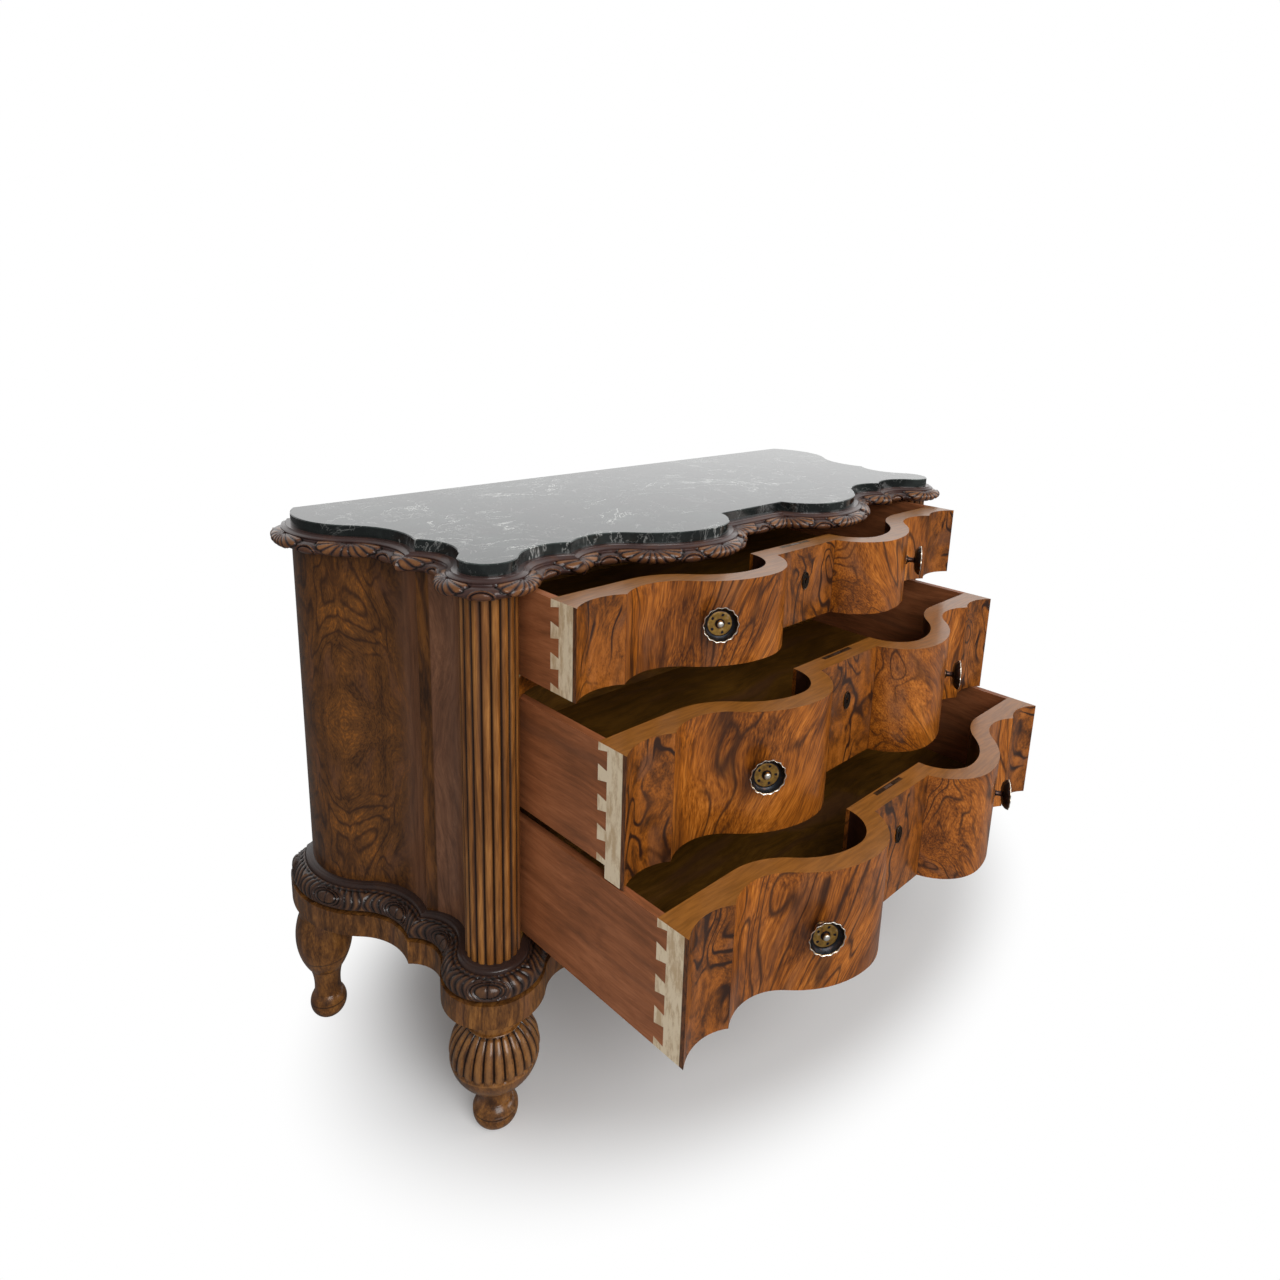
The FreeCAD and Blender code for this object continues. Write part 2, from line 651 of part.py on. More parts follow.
def drawer_bottom(bottom):
    """The bottom board, let into grooves in the front and the sides."""
    end = DRAWER_HALF_WIDTH - SIDE_THICK + BOTTOM_GROOVE
    front = drawer_plan(-FRONT_WALL + BOTTOM_GROOVE, end)
    rear = V(end, DRAWER_DEPTH, 0)
    path = whole(front + [(front[-1][1], rear, None, 1)])
    low = bottom + BOTTOM_RISE
    return prism(path, low, low + BOTTOM_THICK)


def front_block(bottom, top, lip_bottom):
    """The thick front, with a thin lip below it where the drawer has one."""
    face = face_plan()
    block = prism(between(whole(face), whole(drawer_plan(-FRONT_WALL, DRAWER_HALF_WIDTH))), bottom, top)
    if lip_bottom < bottom:
        lip = between(whole(face), whole(drawer_plan(-LIP_THICK, DRAWER_HALF_WIDTH)))
        block = block.fuse(prism(lip, lip_bottom, bottom)).removeSplitter()
    return block


def knob_frame():
    """Where a knob meets the outer slope of the right lobe, and the way it points."""
    seat = V(KNOB_X, LOBE_OUTER_CENTRE.y - leg(LOBE_OUTER_R, KNOB_FROM_PEAK), 0)
    return seat, (seat - LOBE_OUTER_CENTRE) * (1 / LOBE_OUTER_R)


def turn_about(points, seat, way, z):
    """A turned piece: (radius, distance) points revolved about a level axis from a seat."""
    across = V(0, 0, 1)
    origin = seat + V(0, 0, z)
    corners = [origin + across * radius + way * distance for radius, distance in points]
    outline = Part.makePolygon(corners + corners[:1])
    return Part.Face(outline).revolve(origin, way, 360)


def knob(z):
    """A dished knob with a thin rim and a boss, on a stem with a collar and a spigot into the wood."""
    seat, way = knob_frame()
    back = KNOB_STAND_OFF
    points = [
        (0, -KNOB_SPIGOT_LENGTH), (KNOB_SPIGOT_R, -KNOB_SPIGOT_LENGTH), (KNOB_SPIGOT_R, 0),
        (KNOB_COLLAR_R, 0), (KNOB_STEM_R, KNOB_COLLAR_LENGTH), (KNOB_STEM_R, back),
        (KNOB_R, back + KNOB_DISH_DEPTH), (KNOB_R, back + KNOB_DISH_DEPTH + KNOB_RIM),
        (KNOB_R - KNOB_RIM, back + KNOB_DISH_DEPTH + KNOB_RIM), (KNOB_BOSS_R, back + KNOB_RIM),
        (KNOB_BOSS_R, back + KNOB_BOSS_HEIGHT), (0, back + KNOB_BOSS_HEIGHT),
    ]
    return turn_about(points, seat, way, z)


def knob_bore(z):
    seat, way = knob_frame()
    depth = KNOB_SPIGOT_LENGTH
    start = seat + V(0, 0, z) - way * depth
    return Part.makeCylinder(KNOB_SPIGOT_R, 2 * depth, start, way)


def keyhole_plate(z):
    """An oval plate on the flat middle of the front, with a keyhole slot."""
    centre = V(0, FLAT_Y, z)
    oval = Part.Ellipse(centre + V(0, 0, PLATE_HALF_HEIGHT), centre + V(PLATE_HALF_WIDTH, 0, 0), centre)
    return Part.Face(Part.Wire(oval.toShape())).extrude(V(0, -PLATE_THICK, 0)).cut(keyhole(z))


def keyhole(z):
    half = KEYHOLE_WIDTH / 2
    low, high = z - KEYHOLE_HEIGHT / 2, z + KEYHOLE_HEIGHT / 2
    return box(-half, half, FLAT_Y - PLATE_THICK, LOCK_Y - LOCK_CASE_THICK / 2, low, high)


def lock_body(top, keyhole_z):
    """The lock's case in its mortise, with a plate let into the top edge."""
    low = keyhole_z - KEYHOLE_HEIGHT / 2 - LOCK_CASE_BELOW_KEYHOLE
    half, half_thick = LOCK_CASE_WIDTH / 2, LOCK_CASE_THICK / 2
    case = box(-half, half, LOCK_Y - half_thick, LOCK_Y + half_thick, low, top)
    half = LOCK_STRIP_WIDTH / 2
    strip = box(-half, half, LOCK_Y - half_thick, LOCK_Y + half_thick, top - LOCK_STRIP_THICK, top)
    return case.fuse(strip).removeSplitter()


def lock_bolt(top, spare):
    """The bolt, flush with the top edge when drawn back; spare makes it larger all round for its slot."""
    half, half_thick = BOLT_WIDTH / 2 + spare, BOLT_THICK / 2 + spare
    return box(-half, half, LOCK_Y - half_thick, LOCK_Y + half_thick, top - BOLT_HEIGHT - spare, top)


def drawer(name, bottom, top, lip_bottom, keyhole_drop, pulled):
    """One drawer's pieces, pulled out of the carcass as it is stored."""
    keyhole_z = top - keyhole_drop
    knob_z = (lip_bottom + top) / 2 + KNOB_RISE
    side = tailed_side(bottom, top)
    floor = drawer_bottom(bottom)
    lock = lock_body(top, keyhole_z)
    inner = DRAWER_HALF_WIDTH - SIDE_THICK
    back_z = bottom + BOTTOM_RISE + BOTTOM_THICK
    back_y = DRAWER_DEPTH - DRAWER_BACK_THICK
    cuts = [both_sides(side), floor, lock, keyhole(keyhole_z), both_sides(knob_bore(knob_z))]
    front = front_block(bottom, top, lip_bottom)
    for cut in cuts:
        front = front.cut(cut)
    grooved = side.cut(floor)
    nodes = {
        "front": front,
        "side_right": grooved,
        "side_left": mirror_image(grooved),
        "back": box(-inner, inner, back_y, DRAWER_DEPTH, back_z, top - DRAWER_BACK_DROP),
        "bottom": floor,
        "knobs": both_sides(knob(knob_z)),
        "keyhole_plate": keyhole_plate(keyhole_z),
        "lock_case": lock.cut(lock_bolt(top, BOLT_CLEARANCE)),
        "lock_bolt": lock_bolt(top, 0),
    }
    for shape in nodes.values():
        shape.translate(V(0, -pulled, 0))
    return {f"{name}_drawer_{part}": shape for part, shape in nodes.items()}


def build():
    nodes = carcass()
    lip_bottom = MIDDLE_Z - LIP_DROP
    nodes.update(drawer("upper", UPPER_Z, UPPER_TOP, UPPER_Z, UPPER_KEYHOLE_DROP, UPPER_OPEN))
    nodes.update(drawer("middle", MIDDLE_Z, MIDDLE_TOP, lip_bottom, LARGE_KEYHOLE_DROP, MIDDLE_OPEN))
    nodes.update(drawer("lower", LOWER_Z, LOWER_TOP, LOWER_Z, LARGE_KEYHOLE_DROP, LOWER_OPEN))
    return nodes


os.makedirs("parts", exist_ok=True)
for node, shape in build().items():
    shape.exportStep(f"parts/{node}.step")
    print(f"{node}: {len(shape.Solids)} solid, {shape.Volume / 1000:.1f} cm3, valid {shape.isValid()}")
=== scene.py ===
"""The looks of a serpentine chest of drawers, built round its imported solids.

The plan curves below are the solids' own, in millimetres. Pieces whose solids are plain are replaced here:
carved mouldings, front feet, knobs and keyhole plates. The other nodes keep their shape and get a finish.
"""
import math

import bmesh
import bpy
import numpy as np
from mathutils import Matrix, Vector


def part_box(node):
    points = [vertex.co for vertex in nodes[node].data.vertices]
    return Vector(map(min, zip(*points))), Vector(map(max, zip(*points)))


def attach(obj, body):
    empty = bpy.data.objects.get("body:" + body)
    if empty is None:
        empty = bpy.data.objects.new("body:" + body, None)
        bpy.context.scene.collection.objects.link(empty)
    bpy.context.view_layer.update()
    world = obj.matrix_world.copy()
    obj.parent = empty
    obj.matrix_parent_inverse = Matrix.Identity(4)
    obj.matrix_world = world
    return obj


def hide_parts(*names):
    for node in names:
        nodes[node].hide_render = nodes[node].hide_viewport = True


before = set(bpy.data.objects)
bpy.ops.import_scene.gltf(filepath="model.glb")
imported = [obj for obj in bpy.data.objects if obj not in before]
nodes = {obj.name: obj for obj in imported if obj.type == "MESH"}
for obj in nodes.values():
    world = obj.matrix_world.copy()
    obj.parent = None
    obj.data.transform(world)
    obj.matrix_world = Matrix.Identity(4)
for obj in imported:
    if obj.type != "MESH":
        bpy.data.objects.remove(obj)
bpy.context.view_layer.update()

MM = 0.001
SIDES = (("right", 1), ("left", -1))
DRAWERS = ("upper", "middle", "lower")

# Plan of the right half: flat middle, lobe, hollow, edge, cove, column, side cove, edge, side hollow, bulge.
DRAWER_HALF_WIDTH = 540.0
FLAT_Y = -17.0
LOBE_X = 186.0
LOBE_Y = -87.0
LOBE_INNER_R = 103.518
LOBE_OUTER_R = 185.0
VALLEY_R = 92.0
COVE_Y = -4.0
COVE_R = 84.0
COLUMN_X = 586.0
COLUMN_Y = -7.0
COLUMN_R = 44.0
SIDE_COVE_X = 595.0
SIDE_VALLEY_X = 614.0
SIDE_VALLEY_R = 135.0
BULGE_X = 702.0
BULGE_R = 140.0
BULGE_TO_BACK = 81.0
BACK_Y = 465.0

# Mouldings: how far each profile stands out from the plan, and how much its hollows tighten.
TOP_EASE = 0.75
TOP_FOOT = 14.0
TOP_SWELL = 19.0
TOP_TORUS_HEIGHT = 23.0
TOP_FILLET_OUT = 8.0
TOP_BACK = 18.0
BASE_EASE = 0.5
BASE_FOOT = 15.0
BASE_SWELL = 24.0
BASE_DROP = 5.5
BASE_TORUS_HEIGHT = 28.5
BASE_OGEE_OUT = 5.0
BASE_BACK = 12.0

# Carving: the first cabochon's place along each length of moulding, and the pitch of the cabochons.
MOTIFS = {"front": (0.0, 141.8), "corner": (58.3, 160.0), "side": (58.7, 145.5)}
CARVE_STEP = 1.5
SHELL_RIBS = 9
SHELL_HALF_WIDTH = 57.0
SHELL_LENGTH = 38.0
SHELL_ROOT = 47.5
# Half length and half height of the ovals, and how far up the moulding their middles lie.
TOP_OVAL = (15.5, 12.0)
TOP_OVAL_ACROSS = 17.0
BASE_OVAL = (19.0, 10.5)
BASE_OVAL_ACROSS = 14.0
CRESCENT_PITCH = 13.5
# The finish's mark on the mouldings' plain rows: 0 is nearly black with painted shade, 1 is worn gold with a
# painted highlight.
PLAIN_MARK = 0.34

# The veneer's thickness as the drawer ends show it, and the front face's place there with the drawer shut.
VENEER_SHOWN = 8.0
END_FACE_Y = -22.8


def level(node, top):
    """A node's lowest or highest height, in millimetres."""
    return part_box(node)[1 if top else 0].z / MM


def leg(slant, other):
    """The third side of a right-angled triangle from its longest side and one other."""
    return math.sqrt(slant ** 2 - other ** 2)


def point(x, y):
    return np.array([x, y], float)


LOBE = point(LOBE_X, LOBE_Y + LOBE_OUTER_R)
LOBE_INNER = point(LOBE_X, LOBE_Y + LOBE_INNER_R)
COLUMN = point(COLUMN_X, COLUMN_Y)
BULGE = point(BULGE_X - BULGE_R, BACK_Y - BULGE_TO_BACK)


def hollows(out, ease):
    """Centre and radius of the four hollow arcs, pushed out by a distance."""
    r = VALLEY_R - ease * out
    y = -out - r
    valley = (point(LOBE_X + leg(LOBE_OUTER_R + out + r, LOBE[1] - y), y), r)
    r = COVE_R - ease * out
    y = COVE_Y - out - r
    cove = (point(COLUMN_X - leg(COLUMN_R + out + r, COLUMN_Y - y), y), r)
    x = SIDE_COVE_X + out + r
    side_cove = (point(x, COLUMN_Y + leg(COLUMN_R + out + r, x - COLUMN_X)), r)
    r = SIDE_VALLEY_R - ease * out
    x = SIDE_VALLEY_X + out + r
    side_valley = (point(x, BULGE[1] - leg(BULGE_R + out + r, x - BULGE[0])), r)
    return valley, cove, side_cove, side_valley


def meet(first, second):
    """The crossing of two circles to the left of the way between their centres."""
    (a, a_r), (b, b_r) = first, second
    way = b - a
    span = np.linalg.norm(way)
    along_way = (a_r ** 2 - b_r ** 2 + span ** 2) / (2 * span)
    ahead = way / span
    return a + ahead * along_way + point(-ahead[1], ahead[0]) * leg(a_r, along_way)


def towards(centre, radius, target):
    way = target - centre
    return centre + way * (radius / np.linalg.norm(way))


def half_plan(out, ease=1.0):
    """Stretches (start, end, centre, turn) of the right half's three lengths, pushed out by a distance."""
    valley, cove, side_cove, side_valley = hollows(out, ease)
    crease = point(LOBE_X - leg(LOBE_INNER_R + out, LOBE_INNER[1] - FLAT_Y + out), FLAT_Y - out)
    peak = point(LOBE_X, LOBE_Y - out)
    lobe_end = towards(LOBE, LOBE_OUTER_R + out, valley[0])
    edge = meet(valley, cove)
    column_start = towards(COLUMN, COLUMN_R + out, cove[0])
    column_end = towards(COLUMN, COLUMN_R + out, side_cove[0])
    side_edge = meet(side_cove, side_valley)
    bulge_start = towards(BULGE, BULGE_R + out, side_valley[0])
    rear = point(BULGE[0] + leg(BULGE_R + out, BULGE_TO_BACK), BACK_Y)
    return {
        "front": [(point(0, FLAT_Y - out), crease, None, 1), (crease, peak, LOBE_INNER, 1),
                  (peak, lobe_end, LOBE, 1), (lobe_end, edge, valley[0], -1)],
        "corner": [(edge, column_start, cove[0], -1), (column_start, column_end, COLUMN, 1),
                   (column_end, side_edge, side_cove[0], -1)],
        "side": [(side_edge, bulge_start, side_valley[0], -1), (bulge_start, rear, BULGE, 1)],
    }


def along(stretch, shares):
    """Points at shares 0 to 1 of a stretch."""
    start, end, centre, turn = stretch
    shares = np.asarray(shares, float)
    if centre is None:
        return start + (end - start) * shares[:, None]
    first = math.atan2(start[1] - centre[1], start[0] - centre[0])
    last = math.atan2(end[1] - centre[1], end[0] - centre[0])
    angles = first + turn * ((turn * (last - first)) % (2 * math.pi)) * shares
    return centre + np.linalg.norm(start - centre) * np.stack([np.cos(angles), np.sin(angles)], 1)


def length_of(stretch):
    return np.linalg.norm(np.diff(along(stretch, np.linspace(0, 1, 50)), axis=0), axis=1).sum()


def new_piece(name, vertices, faces, material, body, replaced, marks, sharp_degrees):
    """A marked mesh from millimetre vertices that rides on a body and stands for a node."""
    mesh = bpy.data.meshes.new(name)
    mesh.from_pydata((np.asarray(vertices, float) * MM).tolist(), [], faces)
    piece = bpy.data.objects.new(name, mesh)
    bpy.context.scene.collection.objects.link(piece)
    mesh.materials.append(material)
    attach(piece, body)
    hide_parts(replaced)
    attribute = mesh.attributes.new("carve", "FLOAT", "POINT")
    attribute.data.foreach_set("value", np.asarray(marks, np.float32).ravel())
    finish_mesh(mesh, sharp_degrees)


def finish_mesh(mesh, sharp_degrees):
    """Points the faces outwards and shades them smooth up to an angle."""
    work = bmesh.new()
    work.from_mesh(mesh)
    bmesh.ops.recalc_face_normals(work, faces=work.faces)
    work.to_mesh(mesh)
    work.free()
    mesh.polygons.foreach_set("use_smooth", np.ones(len(mesh.polygons), bool))
    mesh.set_sharp_from_angle(angle=math.radians(sharp_degrees))
    mesh.update()


def ring_faces(rows, columns, closed_rows, closed_columns):
    """Quads of a grid whose vertices are numbered row by row."""
    faces = []
    for row in range(rows if closed_rows else rows - 1):
        below = row * columns
        above = (row + 1) % rows * columns
        for column in range(columns if closed_columns else columns - 1):
            after = (column + 1) % columns
            faces.append((below + column, below + after, above + after, above + column))
    return faces


def stations(part):
    """Where the right half's moulding is cut across: stretch number, share of it, distance along."""
    found = []
    done = 0.0
    for number, stretch in enumerate(half_plan(TOP_FOOT + TOP_SWELL, TOP_EASE)[part]):
        size = length_of(stretch)
        count = max(2, round(size / CARVE_STEP))
        for share in np.linspace(0, 1, count + 1)[0 if number == 0 else 1:]:
            found.append((number, share, done + share * size))
        done += size
    return found


def plan_points(part, out, ease, places):
    stretches = half_plan(out, ease)[part]
    points = np.zeros((len(places), 2))
    numbers = np.array([number for number, _, _ in places])
    shares = np.array([share for _, share, _ in places])
    for number, stretch in enumerate(stretches):
        mask = numbers == number
        points[mask] = along(stretch, shares[mask])
    return points


def moulding(name, part, sign, profile, ease, carve, material):
    """One length of moulding: the rows (out, height, way out, way up, across) swept along the plan."""
    places = stations(part)
    distance = np.array([place[2] for place in places])
    rows = []
    marks = []
    for out, height, way_out, way_up, across in profile:
        base = plan_points(part, out, ease if out > 0 else 1.0, places)
        drift = plan_points(part, out + 0.5, ease if out > -0.5 else 1.0, places) - base
        depth, mark = 0 * distance, 0 * distance + PLAIN_MARK
        if across is not None:
            depth, mark = carve(distance, across, part)
        flat = base + drift * (2 * way_out * depth)[:, None]
        rows.append(np.column_stack([flat, height + way_up * depth]))
        marks.append(mark)
    grid, marks = np.array(rows), np.array(marks)
    if part == "front":
        mirror = grid[:, :0:-1] * [-1, 1, 1]
        grid = np.concatenate([mirror, grid], axis=1)
        marks = np.concatenate([marks[:, :0:-1], marks], axis=1)
    count = grid.shape[1]
    vertices = grid.reshape(-1, 3) * [sign, 1, 1]
    faces = ring_faces(len(profile), count, True, False)
    ends = [[row * count + column for row in range(len(profile))] for column in (0, count - 1)]
    new_piece(f"carved_{name}", vertices, faces + ends, material, "carcass", name, marks, 50)


def torus_rows(foot, swell, middle, rise, start, stop, count):
    """Rows of a rounded moulding between two angles, each with its outward way and its place across."""
    rows = []
    across = 0.0
    before = None
    for angle in np.linspace(start, stop, count):
        out = foot + swell * math.cos(angle)
        height = middle + rise * math.sin(angle)
        way = np.array([rise * math.cos(angle), swell * math.sin(angle)])
        way /= np.linalg.norm(way)
        if before is not None:
            across += math.hypot(out - before[0], height - before[1])
        before = (out, height)
        rows.append((out, height, way[0], way[1], across))
    return rows


def plain_rows(points):
    return [(out, height, 0.0, 0.0, None) for out, height in points]


def top_profile():
    """The carved torus with a small fillet and cove above it, and its hidden back."""
    low = level("top_moulding_front", False)
    high = level("top_moulding_front", True)
    middle = low + TOP_TORUS_HEIGHT / 2
    torus = torus_rows(TOP_FOOT, TOP_SWELL, middle, TOP_TORUS_HEIGHT / 2, -math.pi / 2, math.pi / 2, 34)
    shoulder = low + TOP_TORUS_HEIGHT
    cap = plain_rows([(TOP_FOOT + 1.5, shoulder + 0.3), (TOP_FOOT + 1.8, shoulder + 2.0),
                      (TOP_FOOT + 0.6, shoulder + 3.2), (TOP_FILLET_OUT + 2.4, shoulder + 4.0),
                      (TOP_FILLET_OUT + 0.8, shoulder + 5.4), (TOP_FILLET_OUT, high)])
    return torus + cap + plain_rows([(-TOP_BACK, high), (-TOP_BACK, low)])


def base_profile():
    """The carved quarter round with a plain ogee step above it, and its hidden back."""
    low = level("base_moulding_front", False)
    high = level("base_moulding_front", True)
    middle = low + BASE_DROP
    rise = BASE_TORUS_HEIGHT - BASE_DROP
    swelled = BASE_FOOT + BASE_SWELL
    foot = plain_rows([(BASE_FOOT, low), (swelled - 2.5, low), (swelled - 0.6, low + 1.4)])
    torus = torus_rows(BASE_FOOT, BASE_SWELL, middle, rise, -0.12, math.pi / 2, 30)
    shoulder = low + BASE_TORUS_HEIGHT
    ogee = plain_rows([(BASE_FOOT - 1.2, shoulder - 0.8), (BASE_FOOT - 1.6, shoulder + 0.4),
                       (BASE_FOOT - 1.9, shoulder + 2.8), (BASE_FOOT - 3.2, shoulder + 4.6),
                       (BASE_OGEE_OUT + 3.0, shoulder + 5.6), (BASE_OGEE_OUT + 1.0, shoulder + 6.3),
                       (BASE_OGEE_OUT, high)])
    return foot + torus + ogee + plain_rows([(-BASE_BACK, high), (-BASE_BACK, low)])


def nearest_motif(distance, part):
    """Distance to the nearest cabochon and to the nearest fan half way between two cabochons."""
    first, pitch = MOTIFS[part]
    cabochon = (distance - first + pitch / 2) % pitch - pitch / 2
    fan = (distance - first) % pitch - pitch / 2
    return cabochon, fan


def bell(value, centre, width):
    """1 where a value passes its centre, falling away over a width."""
    return np.exp(-((value - centre) / width) ** 2)


def crown(share, power=2.0):
    """The height of a rounded ridge: 1 on its crest, 0 from its edge on."""
    return np.sqrt(np.clip(1 - share ** power, 0, 1))


def smooth(low, high, value):
    share = np.clip((value - low) / (high - low), 0, 1)
    return share * share * (3 - 2 * share)


def carve_top(distance, across, part):
    """Depth and mark of the top torus's carving: shells between ringed ovals. Cuts have a low mark, painting
    shade.
    """
    cabochon, fan = nearest_motif(distance, part)
    oval = np.hypot(cabochon / TOP_OVAL[0], (across - TOP_OVAL_ACROSS) / TOP_OVAL[1])
    down = (SHELL_ROOT - across) / SHELL_LENGTH
    reach = np.hypot(fan / SHELL_HALF_WIDTH, down)
    angle = np.arctan2(down, fan / SHELL_HALF_WIDTH)
    groove = np.abs(np.mod(angle / math.pi * SHELL_RIBS, 1) - 0.5) * 2
    edge = 0.90 + 0.10 * crown(groove)
    near_oval = 1 - smooth(1.40, 1.55, oval)
    inside = (1 - smooth(edge - 0.06, edge, reach)) * smooth(0.05, 0.14, reach) * (1 - near_oval)
    rib = 1.0 + 2.0 * crown(groove, 3) + 0.9 * np.sin(np.clip(reach, 0, 1) * math.pi)
    dome = 2.8 * crown(oval)
    ring = 2.0 * bell(oval, 1.28, 0.09)
    moat = -1.4 * bell(oval, 1.06, 0.08)
    rim = bell(reach, edge + 0.03, 0.035) * (1 - near_oval)
    fade = smooth(0.0, 4.0, across) * smooth(0.0, 1.5, 48.6 - across)
    depth = (-2.4 + inside * rib - 1.2 * rim + near_oval * (dome + ring + moat + 0.4)) * fade
    cut = inside * smooth(0.72, 1.0, groove) + rim
    rings = bell(oval, 1.07, 0.09) + 0.8 * bell(oval, 1.48, 0.06)
    cut = cut + near_oval * rings
    raised = inside * smooth(0.15, 0.6, reach) * (1 - smooth(0.4, 0.8, groove))
    raised = raised + near_oval * (0.6 * (oval < 1) + bell(oval, 1.28, 0.09))
    # Painted light: cuts get shade, and raised parts a highlight that grows up the torus towards its lit
    # upper part.
    lit = smooth(8.0, 34.0, across)
    return depth, np.clip(0.35 + (0.06 + 0.28 * lit) * raised - 0.55 * cut * fade, 0, 1)


def carve_base(distance, across, part):
    """Depth and mark of the carving on the base torus: nested crescents spread from split ovals."""
    cabochon, fan = nearest_motif(distance, part)
    oval = np.hypot(cabochon / BASE_OVAL[0], (across - BASE_OVAL_ACROSS) / BASE_OVAL[1])
    rings = 1.8 * bell(oval, 1.30, 0.09) + 1.6 * bell(oval, 1.66, 0.09)
    dome = 2.8 * crown(oval)
    split = bell(cabochon, 0, 1.3) * (oval < 1.05)
    moat = bell(oval, 1.09, 0.08) + bell(oval, 1.48, 0.06)
    near_oval = 1 - smooth(1.80, 1.95, oval)
    bow = np.abs(cabochon) + 0.020 * (across - 15.0) ** 2 + 2.2 * np.sin(across / 7.0 + cabochon / 23.0)
    leaf = np.abs(np.mod(bow / CRESCENT_PITCH, 1) - 0.5) * 2
    blade = 2.6 * crown(leaf, 2.2)
    top_edge = bell(across, 34.5, 1.6)
    fade = smooth(0.0, 3.0, across) * smooth(0.0, 1.5, 38.5 - across)
    leaves = (blade + 1.2 * bell(fan, 0, 3.0)) * (1 - near_oval)
    ovals = near_oval * (dome + rings - 1.3 * moat - 2.2 * split + 0.6)
    depth = (-2.8 + leaves - 0.8 * top_edge + ovals) * fade
    cut = smooth(0.72, 1.0, leaf) * (1 - near_oval) + near_oval * (moat + split) + top_edge
    raised = (1 - smooth(0.2, 0.7, leaf)) * (1 - near_oval) + near_oval * (0.8 * (oval < 1) + 0.5 * rings)
    # Painted light: shade in the cuts, the split and the groove under the ogee, and a highlight on the
    # raised parts.
    return depth, np.clip(0.33 + 0.30 * raised - 0.45 * cut * fade, 0, 1)


def mouldings(top_finish, base_finish):
    for name, profile, ease, carve, material in (
            ("top_moulding", top_profile(), TOP_EASE, carve_top, top_finish),
            ("base_moulding", base_profile(), BASE_EASE, carve_base, base_finish)):
        moulding(f"{name}_front", "front", 1, profile, ease, carve, material)
        for part in ("corner", "side"):
            for side, sign in SIDES:
                moulding(f"{name}_{part}_{side}", part, sign, profile, ease, carve, material)


class Nodes:
    """A tree of nodes, with short ways to add them and to set or link their inputs."""

    def __init__(self, tree):
        self.tree = tree

    def add(self, kind, **settings):
        node = self.tree.nodes.new(kind)
        for key, value in settings.items():
            setattr(node, key, value)
        return node

    def put(self, socket, value):
        if isinstance(value, bpy.types.NodeSocket):
            self.tree.links.new(value, socket)
        else:
            socket.default_value = value

    def fill(self, node, inputs):
        """Sets or links a node's inputs and gives its outputs."""
        for key, value in inputs.items():
            self.put(node.inputs[key], value)
        return node.outputs


